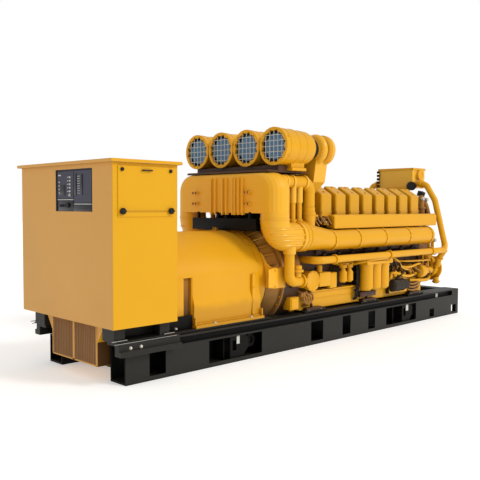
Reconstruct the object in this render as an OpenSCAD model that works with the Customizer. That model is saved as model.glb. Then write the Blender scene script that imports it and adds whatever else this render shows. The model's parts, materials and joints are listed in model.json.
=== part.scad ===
// Combined heat and power generating set: a V engine and an alternator in line on one steel skid.
// X runs along the shaft from the cabinet end to the engine's free end, Z is up, and the floor is Z = 0.
// Stations along X are counted from the rear end of the skid, and placed() moves them to the middle.
// Paired pieces are drawn once on the left side, at +Y, and mirrored for the right side.

/* [Skid] */
// Length of the skid
skid_l = 6400; // [6300:10:6800]
// Width over both rails
skid_w = 1430; // [1400:5:1480]
// Height of the rails
rail_h = 395; // [380:1:430]
// Width of each rail
rail_w = 255; // [230:1:260]
// Thickness of the rail's side plates
plate_t = 16; // [10:1:22]
// Thickness of the rail's top and bottom flanges
flange_t = 20; // [12:1:28]
// Height of the set-back band under the top flange
band_h = 95; // [80:1:110]
// Length of a lifting lug
lug_l = 280; // [220:5:300]

/* [Cabinet] */
// Length of the cabinet along the shaft
cabinet_d = 742; // [700:2:800]
// Width of the cabinet
cabinet_w = 1726; // [1660:2:1800]
// Height of the cabinet's body
cabinet_h = 1519; // [1450:1:1560]
// Height of the cabinet's floor above the skid
cabinet_rise = 182; // [175:1:200]
// How far the cabinet overhangs the rear of the skid
cabinet_over = 231; // [200:1:260]
// How far the roof plate overhangs the cabinet
roof_over = 36; // [20:1:50]
// Thickness of the roof plate
roof_t = 28; // [15:1:40]
// Width of the control panel
panel_w = 664; // [560:2:700]
// Height of the control panel
panel_h = 404; // [340:2:430]

/* [Alternator] */
// Height of the shaft line above the skid
shaft_rise = 443; // [436:1:470]
// Radius of the alternator's round frame
frame_r = 573; // [555:1:580]
// Length of the rear bearing bracket
rear_bracket_l = 285; // [260:5:320]
// Length of the narrow neck behind the frame
neck_l = 130; // [90:5:160]
// Length of the frame between neck and rim
frame_l = 1024; // [960:4:1100]
// Length of the rim at the drive end
rim_l = 100; // [60:5:120]
// Length of the coupling housing
coupling_l = 240; // [225:5:280]
// Thickness of the mounting pads on the skid
pad_t = 25; // [15:1:40]

/* [Engine] */
// Radius of the flywheel housing
flywheel_r = 640; // [630:1:655]
// Length of the flywheel housing
flywheel_l = 330; // [310:5:360]
// Length of the gear case behind the first cylinder
gear_case_l = 370; // [350:5:420]
// Number of cylinders in each bank
cylinders = 8; // [6:1:8]
// Distance between cylinders
cylinder_pitch = 297; // [285:1:300]
// Tilt of each bank from upright
bank_tilt = 30; // [28:0.5:32]
// Height of a cylinder head square to its deck
head_h = 150; // [130:1:165]
// Length of a rocker cover along the bank
cover_l = 212; // [190:2:230]
// Height of a rocker cover square to its head
cover_h = 280; // [250:2:300]
// Length of the front gear housing
front_l = 300; // [260:5:340]

/* [Air and coolant] */
// Radius of the charge air pipes along the engine's sides
air_pipe_r = 125; // [110:1:128]
// Radius of the air elbows' wide duct
duct_r = 168; // [150:1:175]
// Depth of the aftercooler along the shaft
aftercooler_d = 330; // [290:5:340]
// Height of the aftercooler's bridge
aftercooler_h = 470; // [430:5:500]
// Radius of an air cleaner's canister
cleaner_r = 212; // [190:1:214]
// Distance between the air cleaners
cleaner_pitch = 446; // [442:1:470]
// Radius of the coolant pipes
coolant_r = 45; // [38:1:48]

/* [Hidden] */
$fn = 64;
clear = 20;
pipe_lap = 4;
pipe_seam = 1.5;

// Rails, pads and shaft line
rail_out = skid_w / 2;
rail_in = rail_out - rail_w;
band_in = 50;
post_l = 200;
band_z = rail_h - band_h;
shaft_z = rail_h + shaft_rise;
pad_z = rail_h + pad_t;
pad_y = [rail_in + clear, rail_out - 45];
mid_x = (skid_l - cabinet_over - roof_over) / 2;
window_shares = [
    [0.044, 0.075], [0.165, 0.29], [0.426, 0.462], [0.525, 0.551], [0.614, 0.638], [0.681, 0.802]
];
slot_shares = [[0.863, 0.883], [0.966, 0.989]];
lug_shares = [0.238, 0.772];
member_shares = [0.062, 0.3, 0.455, 0.7];
member_w = 180;
member_h = 120;
nose_member = [240, 60];
lug_t = 40;
lug_slot = [55, 110];

// Cabinet, with the supports under it
cabinet_y = cabinet_w / 2;
cabinet_z = rail_h + cabinet_rise;
cabinet_top = cabinet_z + cabinet_h;
angle_t = 35;
panel_y = -192;
panel_drop = 46;
panel_depth = 40;
cover_seam = 496;
cover_edge = 53;
cover_drop = 32;
cover_t = 8;
inlet_y = [427, 527];
inlet_z = [150, 390, 530];
inlet_over = 123;
screen_y = [18, 405];
screen_z = [172, 540];
screen_depth = 24;
slats = 12;

// Stations along the shaft
x_cab = [-cabinet_over, cabinet_d - cabinet_over];
x_bracket = [x_cab[1], x_cab[1] + rear_bracket_l];
x_neck = [x_bracket[1], x_bracket[1] + neck_l];
x_frame = [x_neck[1], x_neck[1] + frame_l];
x_rim = [x_frame[1], x_frame[1] + rim_l];
x_coupling = [x_rim[1], x_rim[1] + coupling_l];
x_fly = [x_coupling[1], x_coupling[1] + flywheel_l];
x_first = x_fly[1] + gear_case_l;
x_case = [x_fly[1], x_first - 10];
x_block = [x_case[1], x_first + cylinders * cylinder_pitch + 84];
x_front = [x_block[1], x_block[1] + front_l];
x_support = [-120, x_cab[1] + 90];

// Engine sections across the shaft
pan_y = 600;
pan_top = shaft_z - 198;
sump_z = rail_h - 165;
sump_x = [x_fly[1] + 280, min(x_block[1] - 150, skid_l - nose_member[0] - clear)];
deck_w = 423;
bank_y = 402;
deck_rise = 657;
deck_z = shaft_z + deck_rise;
block_y = across(deck_w / 2, 0)[0];
case_y = 540;
case_top = shaft_z + flywheel_r + 2;
skirt_rise = [140, 310];
pedestal_y = 440;
front_y = case_y + clear;
valley_rise = 507;
valley = [100, shaft_z + valley_rise];
log_r = 150;
log_z = valley[1] + 3 * log_r;
cover_y = across(deck_w / 2, head_h)[0] - clear;
guard_y = max(frame_r - 33, flywheel_r - 36) + 2;
guard_t = 80;
boss_y = flywheel_r + 20;

// Air path
air_gap = 10;
air_y = block_y + air_pipe_r + air_gap;
ring_r = air_pipe_r + 8;
fuel_rail_h = 178;
fuel_rail_low = across(deck_w / 2, 35)[1];
air_z = fuel_rail_low - ring_r - air_gap / 2;
duct_z = air_z + duct_r - air_pipe_r + clear;
duct_bend = duct_r + 30;
duct_ring_r = duct_r + 11;
duct_ring_t = 75;
joint_x = x_fly[1] - 160;
ring_t = 24;
cooler_x = [x_fly[0] - 405, x_fly[0] - 405 + aftercooler_d];
cooler_y = air_y + aftercooler_d / 2;
cooler_z = [case_top + 140, case_top + 140 + aftercooler_h];
cooler_round = 0.48 * aftercooler_h;
cooler_bevel = 0.48 * aftercooler_d;
cooler_drop = 40;
rib_shares = [0.2, 0.11, -0.03, -0.11, -0.23, -0.27, -0.345, -0.42];
rib_t = 22;
leg_x = cooler_x[0] + aftercooler_d / 2;
rack_t = 25;
rack_y = 1.6 * cleaner_pitch;
rack_z = cooler_z[1] + rack_t;
cleaner_x = cooler_x[0] + 185;
cleaner_z = rack_z + 275;
cleaner_l = [30, 250, 450, 600, 668];
cleaner_neck_r = 110;
bore_r = cleaner_r - 22;
element_x = [38, 130];
screen_r = cleaner_r + 7;
turbo_x = cleaner_x + cleaner_l[4];
turbine_r = 178;
turbo_l = 286;
turbo_leg_x = [x_fly[1] + 140, x_case[1]];

// Coolant and the crossover pipes
coolant_y = air_y + 120;
coolant_rise = 210;
coolant_z = shaft_z + coolant_rise;
crossover_r = 72;
crossover_y = air_y - 20;
crossover_z = cooler_z[1] - crossover_r - 30;
drop_x = x_fly[0] - 50;
drop_r = 60;
drop_y = max(air_y + drop_r, guard_y + guard_t + drop_r + clear);
drop_z = shaft_z - 18;
stub_z = duct_z - duct_r - 30;
box_y = 310;
box_h = 310;
box_x = [x_front[1] - 110, x_front[1] + 250];
box_rise = 510;
box_z = case_top + box_rise;
cap_r = 75;

yellow = "#E3A62B";
black = "#242424";
dark = "#3A352C";
slate = "#3C3E4A";
blue = "#4B6E9B";

// A point of a bank's section: s outward along the deck, h square to the deck
function across(s, h) = [
    bank_y + s * cos(bank_tilt) + h * sin(bank_tilt),
    deck_z - s * sin(bank_tilt) + h * cos(bank_tilt)
];

function unit(v) = v / norm(v);

// The angle by which a path turns at its point i
function turn(points, i) = acos(unit(points[i] - points[i - 1]) * unit(points[i + 1] - points[i]));

// A placing matrix from an origin and three square axes
function placing(o, u, v, w) = [
    [u[0], v[0], w[0], o[0]],
    [u[1], v[1], w[1], o[1]],
    [u[2], v[2], w[2], o[2]],
    [0, 0, 0, 1]
];

// Moves a shape from skid stations to the set's own frame
module placed() {
    translate([-mid_x, 0, 0]) children();
}

// The same shape on the left and on the right
module both_sides() {
    children();
    mirror([0, 1, 0]) children();
}

module right_side() {
    mirror([0, 1, 0]) children();
}

// A box from its ranges along the three axes
module block(x, y, z) {
    translate([x[0], y[0], z[0]]) cube([x[1] - x[0], y[1] - y[0], z[1] - z[0]]);
}

module rod_x(x, y, z, r) {
    translate([x[0], y, z]) rotate([0, 90, 0]) cylinder(h = x[1] - x[0], r = r);
}

module rod_y(x, y, z, r) {
    translate([x, y[0], z]) rotate([-90, 0, 0]) cylinder(h = y[1] - y[0], r = r);
}

module rod_z(x, y, z, r) {
    translate([x, y, z[0]]) cylinder(h = z[1] - z[0], r = r);
}

// A section across the shaft, given as Y and Z, drawn out along X
module along_x(x) {
    translate([x[0], 0, 0]) rotate([90, 0, 90]) linear_extrude(x[1] - x[0]) children();
}

// A side view, given as X and Z, drawn out along Y
module along_y(y) {
    translate([0, y[1], 0]) rotate([90, 0, 0]) linear_extrude(y[1] - y[0]) children();
}

// A profile, given as radius and length, turned about a line along X
module turned_x(x, y, z) {
    translate([x, y, z]) rotate([0, 90, 0]) rotate_extrude() children();
}

// One straight length of a pipe, cut back at both ends for the bends
module straight(a, b, cut_a, cut_b, r) {
    w = unit(b - a);
    helper = abs(w[2]) < 0.9 ? [0, 0, 1] : [1, 0, 0];
    u = unit(cross(helper, w));
    multmatrix(placing(a + w * cut_a, u, cross(w, u), w)) cylinder(h = norm(b - a) - cut_a - cut_b, r = r);
}

// One bend of a pipe about the point b
module bend_at(a, b, c, cut, r, bend) {
    before = unit(b - a);
    after = unit(c - b);
    inward = unit(after - before * (before * after));
    middle = b - before * cut + inward * bend;
    multmatrix(placing(middle, -inward, before, cross(-inward, before)))
        rotate_extrude(angle = acos(before * after)) translate([bend, 0]) circle(r);
}

// A round pipe along a list of points: each corner is a bend, a little wider than the lengths set into it
module pipe(points, r, bend) {
    last = len(points) - 1;
    cuts = [for (i = [0:last]) i == 0 || i == last ? 0 : bend * tan(turn(points, i) / 2)];
    ends = [for (i = [0:last]) i == 0 || i == last ? 0 : cuts[i] - pipe_lap];
    for (i = [0:last - 1]) straight(points[i], points[i + 1], ends[i], ends[i + 1], r);
    for (i = [1:last - 1]) bend_at(points[i - 1], points[i], points[i + 1], cuts[i], r + pipe_seam, bend);
}

// Open-ended box rail with windows in its outer plate, a set-back band below the top flange and a front post
module skid_rail() {
    whole = [0, skid_l];
    band_y = [rail_out - band_in - plate_t, rail_out - band_in];
    window_z = [flange_t + 25, band_z - plate_t];
    difference() {
        union() {
            block(whole, [rail_in, rail_out], [0, flange_t]);
            block(whole, [rail_in, rail_out], [rail_h - flange_t, rail_h]);
            block(whole, [rail_in, rail_in + plate_t], [0, rail_h]);
            block(whole, [rail_out - plate_t, rail_out], [0, band_z]);
            block(whole, [band_y[0], rail_out], [band_z - plate_t, band_z]);
            block(whole, band_y, [band_z - plate_t, rail_h]);
            block([skid_l - post_l, skid_l], [band_y[0], rail_out], [0, rail_h]);
        }
        for (share = window_shares)
            block(share * skid_l, [rail_out - 1.5 * plate_t, rail_out + clear], window_z);
        for (share = slot_shares)
            block(share * skid_l, [rail_in - clear, rail_out + clear], [flange_t + 10, band_z / 2]);
        for (share = lug_shares) lug_slot_space(share * skid_l);
    }
}

// The upright slot through a lug and the web behind it, for a lifting bar
module lug_slot_space(x) {
    middle = (flange_t + band_z) / 2 + 15;
    start = x - 0.36 * lug_l;
    block([start, start + lug_slot[0]], [rail_in - clear, rail_out - plate_t - 1],
          [middle - lug_slot[1] / 2, middle + lug_slot[1] / 2]);
}

// A lifting lug: a plate with one rounded top corner and a slanting lower edge
module lifting_lug(x) {
    low = flange_t;
    top = band_z - plate_t;
    round_r = 0.3 * lug_l;
    start = x - lug_l / 2;
    y = [rail_out - plate_t - lug_t - 10, rail_out - plate_t - 10];
    difference() {
        union() {
            along_y(y) polygon([
                [start, low], [start + 0.62 * lug_l, low], [start + lug_l, low + 0.42 * (top - low)],
                [start + lug_l, top - round_r], [start + lug_l - round_r, top], [start, top]
            ]);
            rod_y(start + lug_l - round_r, y, top - round_r, round_r);
        }
        lug_slot_space(x);
    }
}

module right_skid_rail() {
    color(black) placed() right_side() skid_rail();
}

module left_skid_rail() {
    color(black) placed() skid_rail();
}

module skid_cross_members() {
    color(black) placed() {
        for (share = member_shares)
            block([share * skid_l - member_w / 2, share * skid_l + member_w / 2],
                  [-rail_in, rail_in], [0, member_h]);
        block([skid_l - nose_member[0], skid_l - nose_member[1]], [-rail_in, rail_in], [0, rail_h]);
    }
}

module lifting_lugs() {
    color(black) placed() both_sides() for (share = lug_shares) lifting_lug(share * skid_l);
}

// Channels that carry the cabinet, open to the outside
module cabinet_support_rails() {
    x = [x_support[0] - 30, x_cab[1] - 15];
    y = [rail_in + 90, rail_out + 65];
    z = [rail_h + angle_t, cabinet_z];
    color(black) placed() both_sides() {
        block(x, y, [z[0], z[0] + 14]);
        block(x, y, [z[1] - 14, z[1]]);
        block(x, [y[0], y[0] + 60], z);
        for (end = [x[0], x[1] - 120]) block([end, end + 120], [y[0], y[1] - 25], z);
    }
}

// Angles on the rear of the rails, with a thicker foot outside
module generator_mount_angles() {
    color(black) placed() both_sides() {
        block(x_support, [frame_r + 12, rail_out + 75], [rail_h, rail_h + angle_t]);
        block(x_support, [rail_out, rail_out + 75], [band_z + 55, rail_h + angle_t]);
        block(x_support, [rail_out, rail_out + 110], [band_z, band_z + 55]);
    }
}

module alternator_pads() {
    color(black) placed() both_sides() block([x_support[1] + 15, x_rim[1]], pad_y, [rail_h, pad_z]);
}

module engine_pads() {
    length = 420;
    spare = x_block[1] - x_case[0] - length - 80;
    color(black) placed() both_sides() for (i = [0:2]) {
        start = x_case[0] + 40 + i * spare / 2;
        block([start, start + length], pad_y, [rail_h, pad_z]);
    }
}

// Sheet cabinet on the rear end, with a shallow bay for the control panel
module cabinet_body() {
    color(yellow) placed() difference() {
        block(x_cab, [-cabinet_y, cabinet_y], [cabinet_z, cabinet_top]);
        block([x_cab[0] - clear, x_cab[0] + panel_depth], [panel_y - panel_w / 2, panel_y + panel_w / 2],
              [cabinet_top - panel_drop - panel_h, cabinet_top - panel_drop]);
    }
}

module cabinet_roof() {
    color(yellow) placed() block([x_cab[0] - roof_over, x_cab[1] + roof_over],
        [-cabinet_y - roof_over, cabinet_y + roof_over], [cabinet_top, cabinet_top + roof_t]);
}

// Lift-off cover on a cabinet side, held by two turn knobs and two screws
module access_cover() {
    x = [x_cab[0] + cover_edge, x_cab[1] - cover_edge];
    z = [cabinet_top - cover_seam, cabinet_top - cover_drop];
    outer = cabinet_y + cover_t;
    block(x, [cabinet_y, outer], z);
    for (place = [x[0] + 42, x[1] - 42]) {
        rod_y(place, [cabinet_y, outer + 22], z[0] + 55, 23);
        rod_y(place, [cabinet_y, outer + 10], z[1] - 34, 12);
    }
}

module right_access_cover() {
    color(yellow) placed() right_side() access_cover();
}

module left_access_cover() {
    color(yellow) placed() access_cover();
}

// Panel in the cabinet's bay: a tall left module, a display module and a lower strip
module control_panel() {
    y = [panel_y - panel_w / 2 + 1, panel_y + panel_w / 2 - 1];
    z = [cabinet_top - panel_drop - panel_h + 1, cabinet_top - panel_drop - 1];
    split = y[0] + 0.505 * panel_w;
    back = x_cab[0] + panel_depth;
    color(slate) placed() {
        block([back - 18, back], y, z);
        block([back - 34, back], [y[0] + 16, split - 8], [z[0] + 0.2 * panel_h, z[1] - 16]);
        block([back - 30, back], [split + 8, y[1] - 16], [z[0] + 0.3 * panel_h, z[1] - 16]);
        block([back - 26, back], [y[0] + 16, y[1] - 16], [z[0] + 16, z[0] + 0.17 * panel_h]);
    }
}

// Duct under the cabinet, flared at the top, with two screened openings at the rear
module air_inlet_box() {
    x = [-inlet_over, x_cab[1]];
    half = [
        [inlet_y[0], inlet_z[0]], [inlet_y[0], inlet_z[1]],
        [inlet_y[1], inlet_z[2]], [inlet_y[1], cabinet_z]
    ];
    other = [for (i = [len(half) - 1:-1:0]) [-half[i][0], half[i][1]]];
    color(yellow) placed() difference() {
        along_x(x) polygon(concat(half, other));
        both_sides() block([x[0] - clear, x[0] + screen_depth], screen_y, screen_z);
    }
}

// Louvred screens in the duct's two openings
module air_inlet_screens() {
    back = screen_depth - inlet_over;
    step = (screen_z[1] - screen_z[0]) / slats;
    color(dark) placed() both_sides() {
        block([back - 6, back], screen_y, screen_z);
        for (i = [0:slats - 1])
            block([back - 18, back], screen_y, screen_z[0] * [1, 1] + step * [i + 0.3, i + 0.75]);
    }
}

// The space over the rails that round housings keep clear of, up to the pads
module rail_space(x) {
    both_sides() block([x[0] - clear, x[1] + clear], [rail_in - clear, rail_out + clear], [0, pad_z]);
}

module alternator_rear_bracket() {
    color(yellow) placed() difference() {
        union() {
            rod_x(x_bracket, 0, shaft_z, frame_r - 10);
            block(x_bracket, [-frame_r + 13, frame_r - 13], [pad_z, shaft_z]);
        }
        rail_space(x_bracket);
    }
}

// Round frame with a square skirt, two feet, a narrow neck behind and a rim in front
module alternator_frame() {
    color(yellow) placed() difference() {
        union() {
            rod_x(x_neck, 0, shaft_z, frame_r - 38);
            block(x_neck, [-frame_r + 43, frame_r - 43], [pad_z, shaft_z]);
            rod_x(x_frame, 0, shaft_z, frame_r);
            block(x_frame, [-frame_r - 7, frame_r + 7], [pad_z, shaft_z + 110]);
            both_sides() block(x_frame, [rail_in + clear, pad_y[1] - 10], [pad_z, pad_z + 30]);
            rod_x(x_rim, 0, shaft_z, frame_r + 8);
        }
        rail_space([x_neck[0], x_rim[1]]);
    }
}

// Flared housing over the coupling between the rim and the flywheel
module coupling_housing() {
    color(yellow) placed() turned_x(x_coupling[0], 0, shaft_z) polygon([
        [0, 0], [frame_r - 33, 0], [frame_r - 33, 0.3 * coupling_l], [flywheel_r - 36, 0.8 * coupling_l],
        [flywheel_r - 36, coupling_l], [0, coupling_l]
    ]);
}

module coupling_guards() {
    color(yellow) placed() both_sides()
        block([x_coupling[0] + 10, x_coupling[1]], [guard_y, guard_y + guard_t],
              [shaft_z - 93, shaft_z + 152]);
}

// Round housing with a flat seat on top and a boss on each side, cut away over the rails
module flywheel_housing() {
    color(yellow) placed() difference() {
        union() {
            rod_x(x_fly, 0, shaft_z, flywheel_r);
            block(x_fly, [-210, 210], [shaft_z, case_top]);
            block([x_fly[0] + 130, x_fly[1] - 20], [-boss_y, boss_y], [shaft_z - 118, shaft_z + 82]);
        }
        rail_space(x_fly);
    }
}

// Gear case behind the first cylinder and the two-bank block in front of it
module engine_block() {
    half = [
        [case_y - 20, pan_top], [case_y - 20, shaft_z + skirt_rise[0]], [block_y, shaft_z + skirt_rise[1]],
        across(deck_w / 2, 0), across(-deck_w / 2, 0), valley
    ];
    other = [for (i = [len(half) - 1:-1:0]) [-half[i][0], half[i][1]]];
    color(yellow) placed() {
        block(x_case, [-case_y, case_y], [pan_top, case_top]);
        along_x(x_block) polygon(concat(half, other));
    }
}

module oil_pan() {
    x = [x_case[0], x_block[1]];
    color(yellow) placed() {
        block(x, [-pan_y, pan_y], [pad_z, pan_top]);
        block(sump_x, [-rail_in + clear, rail_in - clear], [sump_z, pad_z]);
    }
}

module front_housing() {
    nose_y = front_y - 130;
    half = [[nose_y, pan_top - 120], [front_y, pan_top], [front_y, case_top - 130], [nose_y, case_top]];
    other = [for (i = [len(half) - 1:-1:0]) [-half[i][0], half[i][1]]];
    color(yellow) placed() along_x(x_front) polygon(concat(half, other));
}

module crankshaft_damper() {
    color(black) placed() turned_x(x_front[1], 0, shaft_z) polygon([
        [0, 0], [90, 0], [90, 30], [300, 30], [300, 120], [220, 120], [220, 95], [90, 95], [90, 140], [0, 140]
    ]);
}

module head_bank() {
    s = deck_w / 2;
    for (i = [0:cylinders - 1])
        along_x([x_first + i * cylinder_pitch, x_first + (i + 1) * cylinder_pitch - 12])
            polygon([across(s, 0), across(s, head_h), across(-s, head_h), across(-s, 0)]);
}

module cylinder_heads() {
    color(yellow) placed() both_sides() head_bank();
}

// Distance along the deck at which a height h meets the upright line y
function deck_at(y, h) = (y - bank_y - h * sin(bank_tilt)) / cos(bank_tilt);

// Covers with an upright outer face and a top that slopes with the bank
module cover_bank() {
    top = head_h + cover_h;
    inner = -deck_w / 2 + 6;
    for (i = [0:cylinders - 1]) {
        start = x_first + i * cylinder_pitch + 4;
        along_x([start, start + cover_l]) polygon([
            across(deck_at(cover_y, head_h), head_h), across(deck_at(cover_y, top), top),
            across(inner, top), across(inner, head_h)
        ]);
    }
}

module rocker_covers() {
    color(yellow) placed() both_sides() cover_bank();
}

// Long box along the outer face of the heads
module fuel_rail_cover() {
    low = across(deck_w / 2, 35);
    corner = across(deck_w / 2, head_h);
    outer = air_y + 40;
    top = low[1] + fuel_rail_h;
    along_x([x_first + 120, x_block[1] + 150]) polygon([
        low, [outer, low[1]], [outer, top - 24], [outer - 24, top], [corner[0], top], corner
    ]);
}

module fuel_rail_covers() {
    color(yellow) placed() both_sides() fuel_rail_cover();
}

// Charge air pipe: a flanged reducer from the elbow, then a length with a port and a web to each cylinder
module air_pipe() {
    x = [x_first + 70, x_block[1] - 70];
    wide = [joint_x + duct_ring_t / 3, air_y, duct_z];
    narrow = [x[0] + clear, air_y, air_z];
    w = unit(narrow - wide);
    rod_x([joint_x, joint_x + duct_ring_t], air_y, duct_z, duct_ring_r);
    multmatrix(placing(wide, [0, 1, 0], cross(w, [0, 1, 0]), w))
        cylinder(h = norm(narrow - wide), r1 = duct_r, r2 = air_pipe_r - 4);
    rod_x([x[0] - clear, x[1]], air_y, air_z, air_pipe_r);
    for (i = [0:cylinders - 1]) {
        middle = x_first + (i + 0.5) * cylinder_pitch;
        rod_y(middle, [block_y, air_y], air_z, 55);
        block([middle - 9, middle + 9], [block_y, air_y], [air_z - air_pipe_r - 8, air_z]);
    }
    for (place = concat(x[0], [for (i = [2:2:cylinders]) x_first + i * cylinder_pitch]))
        rod_x([place - ring_t, place + ring_t], air_y, air_z, ring_r);
}

module air_pipes() {
    color(yellow) placed() both_sides() air_pipe();
}

// A slab across the shaft with both upper corners rounded
module rounded_slab(x, half_w, z, r) {
    block(x, [-half_w, half_w], [z[0], z[1] - r]);
    block(x, [-half_w + r, half_w - r], [z[0], z[1]]);
    both_sides() rod_x(x, half_w - r, z[1] - r, r);
}

// Two slices of the bridge, at an angle of the round between its rear and front faces and its ends
module cooler_slices(a) {
    inset = cooler_bevel * (1 - cos(a));
    half_w = cooler_y - cooler_bevel * (1 - sin(a));
    top = cooler_z[1] - cooler_drop * (1 - sin(a));
    for (x = [cooler_x[0] + inset, cooler_x[1] - inset - 1])
        rounded_slab([x, x + 1], half_w, [cooler_z[0], top], cooler_round - cooler_drop * (1 - sin(a)));
}

// Bridge over the shaft line with rounded shoulders, ribs and four lugs on its rear face
module aftercooler() {
    color(yellow) placed() {
        hull() for (a = [0:18:90]) cooler_slices(a, $fn = 40);
        both_sides() rod_x([leg_x, cooler_x[1] + clear], crossover_y, crossover_z, crossover_r + 6);
        for (share = rib_shares)
            block([cooler_x[0] - rib_t, cooler_x[0] + clear], share * cooler_y * [1, 1] + rib_t * [-0.5, 0.5],
                  [cooler_z[0] - rib_t, cooler_z[1] - 60]);
        both_sides() for (share = [0.2, 0.48])
            block([cooler_x[0] - 40, cooler_x[0] + clear], cooler_y * [0.46, 0.57],
                  cooler_z[0] * [1, 1] + aftercooler_h * [share, share + 0.06]);
    }
}

// Round leg below the aftercooler, turning forward to a flange, with a stub for the drop pipe
module air_elbow() {
    pipe([[leg_x, air_y, cooler_z[0]], [leg_x, air_y, duct_z], [joint_x, air_y, duct_z]], duct_r, duct_bend);
    rod_x([joint_x - duct_ring_t, joint_x], air_y, duct_z, duct_ring_r);
    rod_z(drop_x, drop_y, [stub_z, duct_z], drop_r + 15);
}

module air_elbows() {
    color(yellow) placed() both_sides() air_elbow();
}

// Plate under the air cleaners, with a beam below their open ends
module air_cleaner_rack() {
    top = cleaner_z - cleaner_r - 1;
    color(black) placed() {
        block([cooler_x[0] + 60, x_case[1] - 380], [-rack_y, rack_y], [cooler_z[1], rack_z]);
        block([cleaner_x + cleaner_l[0] + 15, cleaner_x + 190], [-rack_y, rack_y], [rack_z, top]);
    }
}

module turbo_pedestal() {
    color(dark) placed()
        block([x_fly[0] + 10, x_case[1]], [-pedestal_y, pedestal_y], [case_top, cooler_z[1]]);
}

// Canister on a saddle: open at the rear, with a seam at mid length and a domed end drawn in to a neck
module air_cleaner(y) {
    dome = cleaner_l[3] - cleaner_l[2];
    shoulder = cleaner_r - 8 - cleaner_neck_r;
    difference() {
        union() {
            turned_x(cleaner_x, y, cleaner_z) polygon(concat(
                [[0, cleaner_l[0]], [cleaner_r, cleaner_l[0]], [cleaner_r, cleaner_l[1]]],
                [[cleaner_r - 8, cleaner_l[1]]],
                [for (a = [0:15:90]) [cleaner_neck_r + shoulder * cos(a), cleaner_l[2] + dome * sin(a)]],
                [[cleaner_neck_r, cleaner_l[4]], [0, cleaner_l[4]]]
            ));
            block([cleaner_x + 210, cleaner_x + 440], [y - 95, y + 95], [rack_z, cleaner_z]);
        }
        rod_x([cleaner_x, cleaner_x + element_x[1]], y, cleaner_z, bore_r);
    }
}

module air_cleaners() {
    color(yellow) placed() for (i = [0:3]) air_cleaner((i - 1.5) * cleaner_pitch);
}

// Filter elements set in the canisters' open ends
module air_cleaner_elements() {
    color(blue) placed() for (i = [0:3])
        rod_x(cleaner_x * [1, 1] + element_x, (i - 1.5) * cleaner_pitch, cleaner_z, bore_r - 2);
}

// Scalloped rings with crossed bars in front of the canisters
module air_cleaner_screens() {
    bar = 3.5;
    reach = screen_r - 16;
    step = reach / 3.2;
    ring = [screen_r - 42, screen_r];
    color(yellow) placed() for (i = [0:3]) translate([0, (i - 1.5) * cleaner_pitch, cleaner_z]) {
        difference() {
            turned_x(cleaner_x, 0, 0) polygon([
                [ring[0], 0], [ring[1], 0], [ring[1], cleaner_l[0]], [ring[0], cleaner_l[0]]
            ]);
            for (k = [0:11]) rotate([30 * k + 15, 0, 0])
                rod_x([cleaner_x - clear, cleaner_x + cleaner_l[0] + clear], 0, ring[0] - 4, clear);
        }
        for (k = [-2:2]) {
            side = sqrt(pow(reach, 2) - pow(k * step, 2));
            block([cleaner_x + 8, cleaner_x + 16], [k * step - bar, k * step + bar], [-side, side]);
            block([cleaner_x + 8, cleaner_x + 16], [-side, side], [k * step - bar, k * step + bar]);
        }
    }
}

// Compressor with a round volute, bearing housing and turbine drum on one line
module turbocharger(y) {
    volute = [for (a = [-90:22.5:90]) [140 + 48 * cos(a), 80 + 52 * sin(a)]];
    turned_x(turbo_x, y, cleaner_z) polygon(concat(
        [[0, 0], [118, 0], [118, 20]], volute,
        [[90, 140], [90, 160], [turbine_r - 30, 164], [turbine_r, 184], [turbine_r, 260]],
        [[turbine_r - 22, turbo_l - 12], [110, turbo_l], [0, turbo_l]]
    ));
}

// Two turbochargers of one side: the inner one on the pedestal, the outer one on a raked leg against it
module turbocharger_pair() {
    inner = cleaner_pitch / 2;
    foot = turbine_r + 10;
    turbocharger(inner);
    block(turbo_leg_x, [inner - 90, inner + 90], [cooler_z[1], cleaner_z]);
    block([x_case[1], turbo_x + turbo_l], [inner - 60, inner + 60], [cleaner_z - foot, cleaner_z]);
    turbocharger(3 * inner);
    along_x(turbo_leg_x) polygon([
        [3 * inner - 90, cleaner_z], [3 * inner + 90, cleaner_z], [3 * inner + 30, cooler_z[1] - 90],
        [pedestal_y, cooler_z[1] - 330], [pedestal_y, cooler_z[1] - 20]
    ]);
}

module turbochargers() {
    color(yellow) placed() both_sides() turbocharger_pair();
}

// Exhaust log between the banks on three posts, with a collector up to the turbines
module exhaust_manifold() {
    x = [x_first + 20, x_block[1] - 100];
    color(dark) placed() {
        rod_x(x, 0, log_z, log_r);
        for (share = [0.1, 0.5, 0.9]) {
            middle = x[0] + share * (x[1] - x[0]);
            block([middle - 40, middle + 40], [-60, 60], [valley[1], log_z]);
        }
        block([x_case[1] + 5, x_case[1] + 125], [-cleaner_pitch / 2 - 67, cleaner_pitch / 2 + 67],
              [log_z, cleaner_z - turbine_r - 10]);
    }
}

// Coolant pipe along the side, up the front corner and into the box on top
module coolant_pipe() {
    start = x_fly[1] + 80;
    front = x_front[1];
    pipe([
        [start, case_y, coolant_z], [start, coolant_y, coolant_z], [front, coolant_y, coolant_z],
        [front, coolant_y - 200, coolant_z + 750], [front, 480, box_z + 60], [front, box_y, box_z + 60]
    ], coolant_r, 110);
}

module coolant_pipes() {
    color(yellow) placed() both_sides() coolant_pipe();
}

// Pipe from the aftercooler's front down and in to the pedestal, and a drop pipe from elbow to flywheel boss
module crossover_pair() {
    down_x = x_fly[1] + 53;
    z = [cooler_z[0], crossover_z];
    pipe([
        [cooler_x[1] + clear, crossover_y, z[1]], [down_x, crossover_y, z[1]],
        [down_x, crossover_y, z[0]], [down_x, pedestal_y, z[0]]
    ], crossover_r, 120);
    pipe([
        [drop_x, drop_y, stub_z], [drop_x, drop_y, drop_z],
        [x_fly[1] - 120, drop_y, drop_z], [x_fly[1] - 120, boss_y, drop_z]
    ], drop_r, 90);
}

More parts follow.
